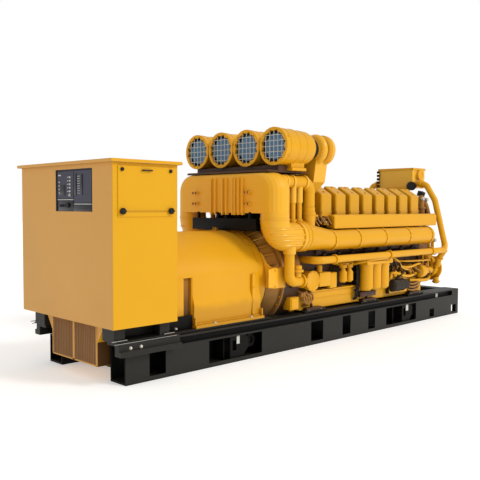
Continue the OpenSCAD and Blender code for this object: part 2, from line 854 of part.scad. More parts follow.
module crossover_pipes() {
    color(yellow) placed() both_sides() crossover_pair();
}

// Box over the free end, with a round cap on its right face
module front_box() {
    color(yellow) placed() {
        block(box_x, [-box_y, box_y], [box_z, box_z + box_h]);
        rod_y((box_x[0] + box_x[1]) / 2, [-box_y - 28, -box_y + clear], box_z + 0.66 * box_h, cap_r);
    }
}

module front_box_stand() {
    color(yellow) placed() block([x_front[0] + 110, x_front[1] - 10], [-210, 210], [case_top, box_z]);
}

// Three canisters a side with rounded bottoms, hung from a base on the block
module oil_filters() {
    r = 88;
    first = x_first + 2.55 * cylinder_pitch + 110;
    color(yellow) placed() both_sides() for (i = [0:2])
        translate([first + i * 190, air_y, shaft_z - 258]) rotate_extrude() polygon([
            [0, 0], [r - 30, 0], [r, 30], [r, 350], [0, 350]
        ]);
}

module oil_filter_bases() {
    first = x_first + 2.55 * cylinder_pitch;
    color(yellow) placed() both_sides()
        block([first, first + 600], [case_y - 20, air_y + 95], [shaft_z + 92, shaft_z + 138]);
}

// Starting motors low on the block, each on a bracket against the pan
module starting_motors() {
    start = x_block[1] - 950;
    low = shaft_z - 253;
    color(black) placed() both_sides() {
        turned_x(start, pan_y + 90, low) polygon([
            [0, 0], [50, 0], [82, 20], [82, 300], [70, 310], [70, 380], [50, 400], [0, 400]
        ]);
        block([start, start + 460], [pan_y, pan_y + 60], [low - 115, low + 115]);
    }
}

// Gear pumps at the front corner, each on a bracket, with a pipe into the front housing
module front_pumps() {
    start = x_block[1] - 200;
    y = pan_y + 60;
    z = shaft_z - 98;
    color(yellow) placed() both_sides() {
        turned_x(start, y, z) polygon([
            [0, 0], [40, 0], [90, 20], [100, 80], [90, 140], [60, 160], [0, 160]
        ]);
        block([start + 30, start + 130], [case_y - 20, y], [z - 45, z + 45]);
        pipe([[start + 100, y, z], [x_front[0] + 190, y, z], [x_front[0] + 190, front_y, z]], 50, 75);
    }
}

module water_pumps() {
    color(yellow) placed() both_sides() turned_x(x_front[1], 490, shaft_z - 78) polygon([
        [0, 0], [120, 0], [120, 25], [165, 45], [165, 125], [95, 150], [95, 230], [0, 230]
    ]);
}

module side_drive_covers() {
    color(yellow) placed() both_sides() rod_y(x_case[0] + 120, [case_y, air_y], shaft_z - 48, 120);
}

right_skid_rail();
left_skid_rail();
skid_cross_members();
lifting_lugs();
cabinet_support_rails();
generator_mount_angles();
alternator_pads();
engine_pads();
cabinet_body();
cabinet_roof();
right_access_cover();
left_access_cover();
control_panel();
air_inlet_box();
air_inlet_screens();
alternator_rear_bracket();
alternator_frame();
coupling_housing();
coupling_guards();
flywheel_housing();
engine_block();
oil_pan();
front_housing();
crankshaft_damper();
cylinder_heads();
rocker_covers();
fuel_rail_covers();
air_pipes();
aftercooler();
air_elbows();
air_cleaner_rack();
turbo_pedestal();
air_cleaners();
air_cleaner_elements();
air_cleaner_screens();
turbochargers();
exhaust_manifold();
coolant_pipes();
crossover_pipes();
front_box();
front_box_stand();
oil_filters();
oil_filter_bases();
starting_motors();
front_pumps();
water_pumps();
side_drive_covers();
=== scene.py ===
"""Looks of the generating set: finishes, small fittings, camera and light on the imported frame."""

import json
import logging
import math
from dataclasses import dataclass, replace
from enum import Enum
from typing import Callable, Iterable, Sequence

import bmesh
import bpy
from mathutils import Matrix, Vector


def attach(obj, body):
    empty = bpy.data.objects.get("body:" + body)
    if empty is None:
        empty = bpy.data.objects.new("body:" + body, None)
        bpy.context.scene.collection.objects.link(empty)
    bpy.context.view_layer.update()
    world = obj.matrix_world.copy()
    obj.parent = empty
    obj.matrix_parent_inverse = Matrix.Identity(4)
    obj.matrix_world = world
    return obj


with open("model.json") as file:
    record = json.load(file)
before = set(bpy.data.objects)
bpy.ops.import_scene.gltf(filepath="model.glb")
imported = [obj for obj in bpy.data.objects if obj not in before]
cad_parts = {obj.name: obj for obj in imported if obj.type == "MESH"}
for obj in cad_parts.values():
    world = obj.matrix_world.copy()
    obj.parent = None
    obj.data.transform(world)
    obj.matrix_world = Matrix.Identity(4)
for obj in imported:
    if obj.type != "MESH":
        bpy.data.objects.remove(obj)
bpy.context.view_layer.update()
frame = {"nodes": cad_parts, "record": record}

log = logging.getLogger("set")
MID_X = 3.0665  # the frame's origin, as a station from the skid's rear end, in metres
SHAFT_Z = 0.838  # height of the shaft line
X, Y, Z = (1, 0, 0), (0, 1, 0), (0, 0, 1)
BACK = (-1, 0, 0)
SIDES = (-1, 1)
# A block is three ranges and comes with its chamfer. A pipe is points, a radius and a number of sides.
Point = Sequence[float]
Row = Sequence[float]
Span = tuple[float, float]
Spot = tuple[float, float, float]
Path = Sequence[Spot]
Profile = Sequence[Span]
Block = tuple[Span, Span, Span]
Blocks = Sequence[tuple[Block, float]]
Pipe = tuple[Path, float, int]
Value = "Sock | float"


class Sock:
    """One shader socket, with arithmetic that adds nodes to its tree."""

    def __init__(self, tree: "Tree", socket: bpy.types.NodeSocket) -> None:
        """Keep the socket and the tree it belongs to."""
        self.tree = tree
        self.socket = socket

    def _math(self, operation: str, first: Value, second: Value, clamp: bool = False) -> "Sock":
        """Add a Math node.

        Args:
            operation: Name of the Math node's operation.
            first: First operand.
            second: Second operand.
            clamp: Whether the result is held between 0 and 1.

        Returns:
            The node's result.
        """
        settings = {"operation": operation, "use_clamp": clamp}
        return self.tree.node("ShaderNodeMath", settings, {0: first, 1: second})

    def __add__(self, other: Value) -> "Sock":
        """Sum."""
        return self._math("ADD", self, other)

    __radd__ = __add__

    def __sub__(self, other: Value) -> "Sock":
        """Difference."""
        return self._math("SUBTRACT", self, other)

    def __rsub__(self, other: float) -> "Sock":
        """Difference with a number first."""
        return self._math("SUBTRACT", other, self)

    def __mul__(self, other: Value) -> "Sock":
        """Product."""
        return self._math("MULTIPLY", self, other)

    __rmul__ = __mul__

    def clamped(self) -> "Sock":
        """The value held between 0 and 1."""
        return self._math("ADD", self, 0.0, clamp=True)

    def wave(self, count: float) -> "Sock":
        """A sine of the value, from 0 to 1, with that many radians per unit."""
        return self._math("SINE", self * count, 0.0) * 0.5 + 0.5

    def rise(self, low: float, high: float) -> "Sock":
        """A smooth step from 0 at low to 1 at high."""
        settings = {"interpolation_type": "SMOOTHSTEP"}
        inputs = {"Value": self, "From Min": low, "From Max": high}
        return self.tree.node("ShaderNodeMapRange", settings, inputs)


class Tree:
    """The node tree of one material, built with Python expressions."""

    def __init__(self, name: str) -> None:
        """Start a material with one Principled shader."""
        self.material = bpy.data.materials.new(name)
        self.material.use_nodes = True
        self.nodes = self.material.node_tree.nodes
        self.links = self.material.node_tree.links
        self.shader = self.nodes["Principled BSDF"]

    def put(self, node: bpy.types.Node, key: "str | int", value: "Sock | float | Point") -> None:
        """Set one input of a node to a constant, or link it."""
        if isinstance(value, Sock):
            self.links.new(value.socket, node.inputs[key])
        else:
            node.inputs[key].default_value = value

    def node(self, kind: str, settings: dict, inputs: dict, output: "str | int" = 0) -> Sock:
        """Add any node.

        Args:
            kind: Type name of the node.
            settings: Properties, set first.
            inputs: Socket values or links, by name or number.
            output: Which output to hand back.

        Returns:
            The chosen output.
        """
        made = self.nodes.new(kind)
        for key, value in settings.items():
            setattr(made, key, value)
        for key, value in inputs.items():
            self.put(made, key, value)
        return Sock(self, made.outputs[output])

    def shade(self, inputs: dict) -> None:
        """Set or link inputs of the Principled shader, by name."""
        for key, value in inputs.items():
            self.put(self.shader, key, value)

    def place(self) -> Sock:
        """Object coordinates, which are the set's own frame."""
        return self.node("ShaderNodeTexCoord", {}, {}, "Object")

    def noise(self, scale: float, detail: float = 4.0, stretch: Point = (1.0, 1.0, 1.0)) -> Sock:
        """Fractal noise from 0 to 1, with a stretch per axis."""
        where = self.node("ShaderNodeVectorMath", {"operation": "MULTIPLY"}, {0: self.place(), 1: stretch})
        return self.node("ShaderNodeTexNoise", {}, {"Vector": where, "Scale": scale, "Detail": detail})

    def axis(self, name: str) -> Sock:
        """One object coordinate, by its letter."""
        return self.node("ShaderNodeSeparateXYZ", {}, {0: self.place()}, name)

    def facing_up(self) -> Sock:
        """How far a face looks up, from -1 to 1."""
        normal = self.node("ShaderNodeNewGeometry", {}, {}, "Normal")
        return self.node("ShaderNodeSeparateXYZ", {}, {0: normal}, "Z")

    def hollow(self, reach: float) -> Sock:
        """How shut in a point is, from 0 in the open to 1 in a corner."""
        return 1.0 - self.node("ShaderNodeAmbientOcclusion", {"samples": 4}, {"Distance": reach}, "AO")

    def mix(self, share: Value, first: "Sock | Point", second: "Sock | Point") -> Sock:
        """A colour between two colours."""
        return self.node("ShaderNodeMix", {"data_type": "RGBA"}, {0: share, 6: first, 7: second}, 2)

    def bump(self, height: Sock, strength: float, distance: float) -> Sock:
        """A normal from a height."""
        return self.node("ShaderNodeBump", {}, {"Height": height, "Strength": strength, "Distance": distance})


class Pattern(Enum):
    """A relief or marking on top of a finish; pleats and mesh also darken their folds and gaps as painted
    shade.
    """

    PLAIN = "plain"
    PLEATS = "pleats"
    MESH = "mesh"
    STREAKS = "streaks"


def rgba(colour: Point, share: float = 1.0) -> tuple[float, float, float, float]:
    """A colour times a share, held to 1, with full alpha."""
    return (*(min(1.0, c * share) for c in colour), 1.0)


@dataclass(frozen=True)
class Finish:
    """One surface: its colour, its gloss, how it has weathered and the shade painted into its hollows.

    A darkening towards the bottom has the height where it starts, the lower height where it is full, and its
    share.
    """

    name: str
    colour: Spot
    rough: float = 0.4
    metallic: float = 0.0
    coat: float = 0.0
    specular: float = 0.35
    reach: float = 0.22
    darker_below: Spot = (0.0, 0.0, 0.0)
    shift: float = 0.1
    dust: float = 0.05
    # share of grime and of painted shade in hollows and corners
    grime_and_shade: float = 0.5
    chips: float = 0.0
    grain: float = 0.06
    dust_colour: Spot = (0.62, 0.52, 0.36)
    # colour of grime, of the painted shade in hollows and of the darkening towards the bottom
    grime_and_shade_colour: Spot = (0.07, 0.03, 0.008)
    chip_colour: Spot = (0.05, 0.04, 0.03)
    pattern: Pattern = Pattern.PLAIN

    BROAD, FINE, BLOTCH = (1.7, 3.0), (38.0, 5.0), (7.0, 6.0)  # scale and detail of each noise
    DUSTY, SHUT, CHIPPED = (0.45, 0.95), (0.25, 0.9), (0.62, 0.66)  # where a layer starts and is full

    def material(self) -> bpy.types.Material:
        """The finish as a material, made once."""
        known = bpy.data.materials.get(self.name)
        return known if known is not None else self._build()

    def _build(self) -> bpy.types.Material:
        """Build the material's tree.

        Returns:
            The new material.
        """
        tree = Tree(self.name)
        broad, fine, blotch = (tree.noise(*size) for size in (self.BROAD, self.FINE, self.BLOTCH))
        base = tree.mix(broad, rgba(self.colour, 1.0 - self.shift), rgba(self.colour, 1.0 + self.shift))
        dusty = (tree.facing_up().rise(*self.DUSTY) * (0.4 + 0.6 * blotch) * self.dust).clamped()
        base = tree.mix(dusty, base, rgba(self.dust_colour))
        # grime and painted shade: hollows and corners, where shade falls, go towards the grime colour
        shut = (tree.hollow(self.reach).rise(*self.SHUT) * (0.65 + 0.5 * blotch) * self.grime_and_shade).clamped()
        base = tree.mix(shut, base, rgba(self.grime_and_shade_colour))
        # darker towards the bottom, below the given heights
        high, low, share = self.darker_below
        if share > 0.0:
            below = 1.0 - (tree.axis("Z") + (blotch - 0.5) * 0.12).rise(low, high)
            base = tree.mix((below * share).clamped(), base, rgba(self.grime_and_shade_colour))
        worn = (blotch * 0.6 + fine * 0.4).rise(*self.CHIPPED) * self.chips
        base = tree.mix(worn.clamped(), base, rgba(self.chip_colour))
        base, height = self._marked(tree, base, fine)
        gloss = self.rough + (fine - 0.5) * 0.16 + dusty * 0.25 + shut * 0.2
        tree.shade({
            "Base Color": base,
            "Roughness": gloss.clamped(),
            "Metallic": self.metallic,
            "Coat Weight": self.coat,
            "Coat Roughness": 0.18,
            "Specular IOR Level": self.specular,
            "Normal": tree.bump(height, self.grain, 0.004),
        })
        return tree.material

    def _marked(self, tree: Tree, base: Sock, fine: Sock) -> tuple[Sock, Sock]:
        """Lay the pattern over a colour.

        Args:
            tree: The material's tree.
            base: The colour so far.
            fine: The height of a plain surface.

        Returns:
            The colour and the height with the pattern.
        """
        if self.pattern is Pattern.PLEATS:
            # painted shade: the folds of the pleats are darkened in colour as well as in relief
            folds = tree.axis("Y").wave(420.0)
            return tree.mix(folds, rgba(self.colour, 0.45), base), folds
        if self.pattern is Pattern.MESH:
            # painted shade: the gaps between the wires are darkened
            wires = tree.axis("Y").wave(300.0).rise(0.35, 0.75)
            return tree.mix(wires, rgba(self.colour, 0.4), base), wires
        if self.pattern is Pattern.STREAKS:
            runs = tree.noise(6.0, 5.0, (1.0, 1.0, 0.12)).rise(0.5, 0.8)
            return tree.mix(runs * 0.45, base, rgba(self.grime_and_shade_colour)), fine
        return base, fine


YELLOW = Finish("machine_yellow_paint", (0.76, 0.372, 0.004), rough=0.36, coat=0.04, specular=0.26,
                shift=0.06, grime_and_shade_colour=(0.1, 0.042, 0.008))
SHEET_YELLOW = Finish("cabinet_yellow_paint", (0.71, 0.358, 0.003), rough=0.42, coat=0.02, specular=0.25,
                      shift=0.04, dust=0.06, grime_and_shade=0.2)
CAST_YELLOW = Finish("cast_yellow_paint", (0.87, 0.44, 0.022), rough=0.38, coat=0.04, specular=0.28,
                     shift=0.07, grime_and_shade=0.3, grime_and_shade_colour=(0.16, 0.07, 0.012))
DRUM_YELLOW = Finish("alternator_yellow_paint", (0.75, 0.365, 0.005), rough=0.36, coat=0.05, specular=0.28,
                     shift=0.06, grime_and_shade=0.3, darker_below=(0.69, 0.57, 0.26), grime_and_shade_colour=(0.2, 0.08, 0.012))
# brown copy of the yellow, darker towards the bottom, painting the shade in the neck's channels and on the
# inlet box's sides
BROWN_SHADE = Finish("brown_shade_paint", (0.34, 0.145, 0.014), rough=0.5, dust=0.2, darker_below=(0.95, 0.5, 0.85),
              grime_and_shade_colour=(0.05, 0.02, 0.005))
PIPE_YELLOW = Finish("pipe_yellow_paint", (0.83, 0.43, 0.019), rough=0.34, coat=0.06, shift=0.06, grime_and_shade=0.45,
                     grime_and_shade_colour=(0.12, 0.05, 0.01))
# darker copy of the machine yellow, painting the shade seen on the rocker covers
ROCKER_SHADED_YELLOW = replace(YELLOW, name="rocker_shaded_yellow_paint", colour=(0.67, 0.33, 0.004), specular=0.28)
# paler, greyer copy of the cabinet yellow, painting the sheen of the white surroundings on rear faces, the
# roof lip and the inlet borders
SHEEN_YELLOW = Finish("sheen_yellow_paint", (0.63, 0.325, 0.07), rough=0.5, shift=0.06, dust=0.1, grime_and_shade=0.35)
# dark copy of the yellow, painting the shade on the flywheel and front housings and on bolts in shaded
# places, with grime streaks
SHADED_STREAKED = Finish("shaded_streaked_yellow_paint", (0.34, 0.14, 0.012), rough=0.45, shift=0.2, dust=0.15, grime_and_shade=1.0,
                 darker_below=(1.08, 0.7, 0.94), grime_and_shade_colour=(0.05, 0.021, 0.008), pattern=Pattern.STREAKS)
# dark brown copy of the yellow, painting the shade on the engine block, heads, crankcase covers, feet and
# cleaner rack, with grime streaks
DARK_SHADE = Finish("dark_shade_brown_paint", (0.072, 0.026, 0.006), shift=0.3, dust=0.1, grime_and_shade=1.0, reach=0.4,
              grime_and_shade_colour=(0.02, 0.01, 0.004), pattern=Pattern.STREAKS)
# brighter yellow; on the sleeves of the balance tubes it paints their highlights
BRIGHT = Finish("bright_yellow_paint", (0.86, 0.47, 0.03), rough=0.3, coat=0.2, shift=0.05, dust=0.1)
BLACK = Finish("skid_black_paint", (0.0165, 0.0155, 0.013), rough=0.42, specular=0.22, shift=0.15, dust=0.03,
               grime_and_shade=0.7, chips=0.1, dust_colour=(0.2, 0.19, 0.17), grime_and_shade_colour=(0.003, 0.003, 0.003),
               chip_colour=(0.05, 0.045, 0.04))
DEEP = Finish("shaded_black_paint", (0.004, 0.004, 0.0035), rough=0.5, specular=0.12, shift=0.2, dust=0.02,
              dust_colour=(0.1, 0.1, 0.09), grime_and_shade_colour=(0.002, 0.002, 0.002))
# bright steel that paints the highlights along the edges of the mount angles and cabinet supports
EDGE_GLINT = Finish("glint_steel_edge", (0.26, 0.255, 0.24), rough=0.34, metallic=0.7, shift=0.3, grime_and_shade=0.4,
              chips=0.6, chip_colour=(0.02, 0.02, 0.02))
IRON = Finish("dark_iron", (0.03, 0.022, 0.015), rough=0.6, specular=0.25, shift=0.3, dust=0.1, grime_and_shade=0.8,
              grain=0.15, grime_and_shade_colour=(0.006, 0.004, 0.003))
RUBBER = Finish("black_rubber", (0.01, 0.0095, 0.009), rough=0.55, specular=0.25, grime_and_shade=0.3,
                dust_colour=(0.2, 0.18, 0.15), grime_and_shade_colour=(0.004, 0.004, 0.004))
SLATE = Finish("panel_slate_paint", (0.052, 0.053, 0.08), rough=0.45, specular=0.22, shift=0.12, grime_and_shade=0.3,
               grime_and_shade_colour=(0.008, 0.008, 0.012))
GLASS = Finish("display_glass", (0.012, 0.013, 0.02), rough=0.2, coat=0.1, shift=0.2, dust=0.02, grime_and_shade=0.1,
               grain=0.01)
PALE = Finish("pale_paint", (0.56, 0.57, 0.52), rough=0.45, shift=0.08, grime_and_shade=0.4)
ZINC = Finish("zinc_bolts", (0.64, 0.62, 0.57), rough=0.36, metallic=0.6, shift=0.12, grime_and_shade=0.3)
LOUVRE = Finish("screen_brown_paint", (0.5, 0.25, 0.09), rough=0.6, shift=0.2, dust=0.1, grain=0.5,
                pattern=Pattern.MESH)
BLUE = Finish("filter_blue_paper", (0.18, 0.4, 0.7), rough=0.75, shift=0.12, dust=0.02, grime_and_shade=0.15, grain=0.8,
              grime_and_shade_colour=(0.01, 0.02, 0.05), pattern=Pattern.PLEATS)
BROWN = Finish("brown_hose", (0.36, 0.16, 0.02), rough=0.5, shift=0.25, dust=0.1, grime_and_shade=0.8)
# brown copy of the yellow, painting the shade on the coupling housing and its ribs
COUPLING_SHADE = Finish("coupling_shade_paint", (0.62, 0.29, 0.03), rough=0.5, shift=0.15, grime_and_shade=0.6,
                 darker_below=(0.86, 0.62, 0.65), grime_and_shade_colour=(0.16, 0.085, 0.035))


class Solid:
    """Collects chamfered boxes, rods, bent tubes and turned shapes into one mesh, in skid stations."""

    SMOOTH_BELOW = math.radians(38.0)
    WASHER = ((1.05, -0.1), (1.05, 0.18))
    HEAD = ((0.8, 0.1), (0.8, 0.7), (0.62, 0.8))

    def __init__(self) -> None:
        """Start with nothing."""
        self.mesh = bmesh.new()

    @staticmethod
    def _circle(centre: Vector, line: Vector, side: Vector, r: float, count: int) -> list[Vector]:
        """Points of a circle about a line, from the side given."""
        other = line.cross(side)
        turns = (2.0 * math.pi * k / count for k in range(count))
        return [centre + (side * math.cos(t) + other * math.sin(t)) * r for t in turns]

    def _skin(self, rings: Iterable[Iterable[Point]]) -> None:
        """Join rings of points with faces, and close both ends."""
        loops = [[self.mesh.verts.new(point) for point in ring] for ring in rings]
        for low, high in zip(loops, loops[1:]):
            for k in range(len(low)):
                n = (k + 1) % len(low)
                self.mesh.faces.new((low[k], low[n], high[n], high[k]))
        self.mesh.faces.new(list(reversed(loops[0])))
        self.mesh.faces.new(loops[-1])

    def box(self, x: Span, y: Span, z: Span, edge: float = 0.004) -> None:
        """A box from its ranges, with chamfered edges."""
        made = bmesh.ops.create_cube(self.mesh, size=1.0)["verts"]
        size = Vector((x[1] - x[0], y[1] - y[0], z[1] - z[0]))
        middle = Vector((x[0] + x[1], y[0] + y[1], z[0] + z[1])) / 2
        for vert in made:
            vert.co = Vector([a * b for a, b in zip(vert.co, size)]) + middle
        edge = min(edge, 0.3 * min(size))
        edges = list(dict.fromkeys(e for v in made for e in v.link_edges))
        bmesh.ops.bevel(self.mesh, geom=edges, offset=edge, segments=2, profile=0.6, affect="EDGES")

    def boxes(self, blocks: Blocks) -> None:
        """Boxes from their ranges and chamfers."""
        for block, edge in blocks:
            self.box(*block, edge)

    def turned(self, at: Point, axis: Point, profile: Profile, sides: int = 28) -> None:
        """A profile of radius and distance, turned about an axis through a point.

        Args:
            at: Start of the axis.
            axis: Direction of the axis.
            profile: Pairs of radius and distance along the axis.
            sides: Number of faces round the axis.
        """
        line = Vector(axis).normalized()
        side = line.orthogonal().normalized()
        self._skin(self._circle(Vector(at) + line * along, line, side, r, sides) for r, along in profile)

    def ring(self, at: Point, axis: Point, r: Span, wide: float, sides: int, lip: float = 0.0) -> None:
        """A collar, flange or band round an axis.

        Args:
            at: Start of the axis.
            axis: Direction of the axis.
            r: Inner and outer radius.
            wide: Length along the axis.
            sides: Number of faces round the axis.
            lip: Length of the slope at each end.
        """
        self.turned(at, axis, ((r[0], 0.0), (r[1], lip), (r[1], wide - lip), (r[0], wide)), sides)

    def arc(self, x: Span, z: float, r: Span, turn: Span, steps: int = 48, y: float = 0.0) -> None:
        """A band bent about a level axis along X.

        Args:
            x: Range along the axis.
            z: Height of the axis.
            r: Inner and outer radius.
            turn: Start and end in degrees from straight up.
            steps: Number of faces along the band.
            y: Place of the axis across the set.
        """
        corners = ((x[0], r[0]), (x[1], r[0]), (x[1], r[1]), (x[0], r[1]))
        turns = [math.radians(turn[0] + (turn[1] - turn[0]) * k / steps) for k in range(steps + 1)]
        self._skin([(px, y + math.sin(a) * pr, z + math.cos(a) * pr) for px, pr in corners] for a in turns)

    def rod(self, a: Point, b: Point, r: float, sides: int = 20) -> None:
        """A round rod with slightly rounded ends."""
        line = Vector(b) - Vector(a)
        span = line.length
        lip = min(0.15 * r, 0.2 * span)
        self.turned(a, line, ((r - lip, 0.0), (r, lip), (r, span - lip), (r - lip, span)), sides)

    def bolt(self, at: Point, axis: Point, size: float) -> None:
        """A hexagon head on a washer."""
        for profile, sides in ((self.WASHER, 14), (self.HEAD, 6)):
            self.turned(at, axis, [(r * size, along * size) for r, along in profile], sides)

    def bolt_ring(self, at: Point, axis: Point, radius: float, count: int, size: float) -> None:
        """Bolts in a circle about an axis."""
        line = Vector(axis).normalized()
        for place in self._circle(Vector(at), line, line.orthogonal().normalized(), radius, count):
            self.bolt(place, line, size)

    def tube(self, points: Sequence[Point], r: float, sides: int = 8, smooth: int = 6) -> None:
        """A tube along a curve through the points.

        Args:
            points: Points the curve passes through.
            r: Radius of the tube.
            sides: Number of faces round the tube.
            smooth: Number of steps between two points.
        """
        knots = [Vector(p) for p in points]
        ends = [knots[0] * 2 - knots[1], *knots, knots[-1] * 2 - knots[-2]]
        path = []
        for i in range(1, len(ends) - 2):
            a, b, c, d = ends[i - 1:i + 3]
            square, cube = 2 * a - 5 * b + 4 * c - d, 3 * b - a - 3 * c + d
            for t in (k / smooth for k in range(smooth)):
                path.append(0.5 * (2 * b + (c - a) * t + square * t ** 2 + cube * t ** 3))
        path.append(knots[-1])
        side = (path[1] - path[0]).orthogonal().normalized()
        rings = []
        for i, centre in enumerate(path):
            ahead = (path[min(i + 1, len(path) - 1)] - path[max(i - 1, 0)]).normalized()
            side = (side - ahead * side.dot(ahead)).normalized()
            rings.append(self._circle(centre, ahead, side, r, sides))
        self._skin(rings)

    def pipes(self, runs: Iterable[Pipe]) -> None:
        """Tubes from their points, radius and number of sides."""
        for points, r, sides in runs:
            self.tube(points, r, sides)

    def bead(self, x: Span, y: float, z: float, r: float) -> None:
        """A straight bead along the set."""
        self.tube([(place, y, z) for place in x], r, 8, 2)

    def sheet(self, outline: Sequence[Point], thick: Point) -> None:
        """A flat plate from its outline, pushed out by a vector."""
        self._skin((outline, [Vector(p) + Vector(thick) for p in outline]))

    def piece(self, name: str, finish: Finish, pair: bool = True) -> bpy.types.Object:
        """Turn what was collected into one object of the set.

        Args:
            name: Name of the object.
            finish: Its finish.
            pair: Whether the shapes are repeated on the other side.

        Returns:
            The new object, riding on the set.
        """
        mesh = self.mesh
        if pair:
            twin = bmesh.ops.duplicate(mesh, geom=mesh.verts[:] + mesh.edges[:] + mesh.faces[:])["geom"]
            for item in twin:
                if isinstance(item, bmesh.types.BMVert):
                    item.co.y = -item.co.y
            bmesh.ops.reverse_faces(mesh, faces=[f for f in twin if isinstance(f, bmesh.types.BMFace)])
        bmesh.ops.recalc_face_normals(mesh, faces=mesh.faces)
        bmesh.ops.translate(mesh, verts=mesh.verts, vec=(-MID_X, 0.0, 0.0))
        data = bpy.data.meshes.new(name)
        mesh.to_mesh(data)
        mesh.free()
        data.shade_smooth()
        data.set_sharp_from_angle(angle=self.SMOOTH_BELOW)
        made = bpy.data.objects.new(name, data)
        bpy.context.scene.collection.objects.link(made)
        data.materials.append(finish.material())
        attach(made, "root")
        return made


def fills(name: str, finish: Finish, pair: bool = True) -> Callable[[Callable], Callable]:
    """Mark a method as the one that fills a piece.

    Args:
        name: Name of the piece.
        finish: Its finish.
        pair: Whether its shapes are repeated on the other side.

    Returns:
        A decorator that notes these on the method.
    """
    def note(method: Callable) -> Callable:
        """Keep the piece's name, finish and symmetry on the method."""
        method.piece = (name, finish, pair)
        return method

    return note


class Assembly:
    """A sub-assembly, in which each marked method fills one piece."""

    def build(self) -> list[bpy.types.Object]:
        """Make the pieces, in the order of their methods."""
        made = []
        for method in vars(type(self)).values():
            if hasattr(method, "piece"):
                kit = Solid()
                method(self, kit)
                made.append(kit.piece(*method.piece))
        return made


def around(x: float, turn: float, r: float) -> Spot:
    """A point at a radius from the shaft line, turned from straight up."""
    return (x, math.sin(turn) * r, SHAFT_Z + math.cos(turn) * r)


@dataclass
class Skid(Assembly):
    """Fasteners and fittings of the black base. Beads are a range, a place across, a height and a radius."""

    angle_bolts: Path = ((0.007, 0.79, 0.372), (0.127, 0.79, 0.372))
    angle_bolt: float = 0.017
    feet: tuple = ((0.45, (0.66, 1.2, 1.75)), (0.42, (2.75, 2.98, 3.92, 4.16, 5.08, 5.32)))
    foot_y: float = 0.648
    foot_bolt: float = 0.018
    rail_beads: tuple = (((0.02, 6.2), 0.713, 0.302, 0.005), ((0.62, 6.39), 0.715, 0.392, 0.005))
    glint_beads: tuple = (((-0.17, 0.56), 0.788, 0.4245, 0.0035), ((-0.19, -0.02), 0.776, 0.452, 0.0045),
                         ((0.41, 0.54), 0.776, 0.452, 0.0045))
    bosses: Path = ((1.746, 0.57, 0.19), (5.023, 0.57, 0.19))
    boss: Profile = ((0.06, 0.0), (0.06, 0.05), (0.075, 0.05), (0.075, 0.065), (0.04, 0.065), (0.04, 0.045))
    dark_plates: Blocks = (
        (((1.326, 1.346), (0.48, 0.64), (0.02, 0.284)), 0.004),
        (((4.628, 4.648), (0.48, 0.64), (0.02, 0.284)), 0.004),
        (((0.585, 0.925), (0.58, 0.596), (0.425, 0.56)), 0.004),
    )
    # pale plates that paint the bright floor seen through the lifting slots and the front notch
    light_blocks: Blocks = (
        (((1.479, 1.523), (0.688, 0.6925), (0.19, 0.278)), 0.001),
        (((4.897, 4.957), (0.688, 0.6925), (0.19, 0.278)), 0.001),
        (((5.772, 5.838), (0.664, 0.669), (0.297, 0.372)), 0.002),
    )

    @fills("skid_bolts", ZINC)
    def bolts(self, kit: Solid) -> None:
        """Bright bolts of the rear mount angles and the machine feet."""
        for at in self.angle_bolts:
            kit.bolt(at, Y, self.angle_bolt)
        for z, stations in self.feet:
            for x in stations:
                kit.bolt((x, self.foot_y, z), Z, self.foot_bolt)

    @fills("skid_edges", BLACK)
    def edges(self, kit: Solid) -> None:
        """Weld beads along the rails."""
        for bead in self.rail_beads:
            kit.bead(*bead)

    @fills("mount_angle_glint_edges", EDGE_GLINT)
    def glint_edges(self, kit: Solid) -> None:
        """Bright beads along the edges of the mount angles and cabinet supports, painting their highlights.
        """
        for bead in self.glint_beads:
            kit.bead(*bead)

    @fills("skid_window_fittings", DEEP)
    def window_fittings(self, kit: Solid) -> None:
        """Pipe bosses and gussets behind the long windows, and a plate before the alternator's neck."""
        for at in self.bosses:
            kit.turned(at, Y, self.boss)
        kit.boxes(self.dark_plates)

    @fills("slot_light_plates", PALE)
    def slot_light_plates(self, kit: Solid) -> None:
        """Pale plates in the lifting slots and at the front notch, painting the bright floor seen through
        them.
        """
        kit.boxes(self.light_blocks)


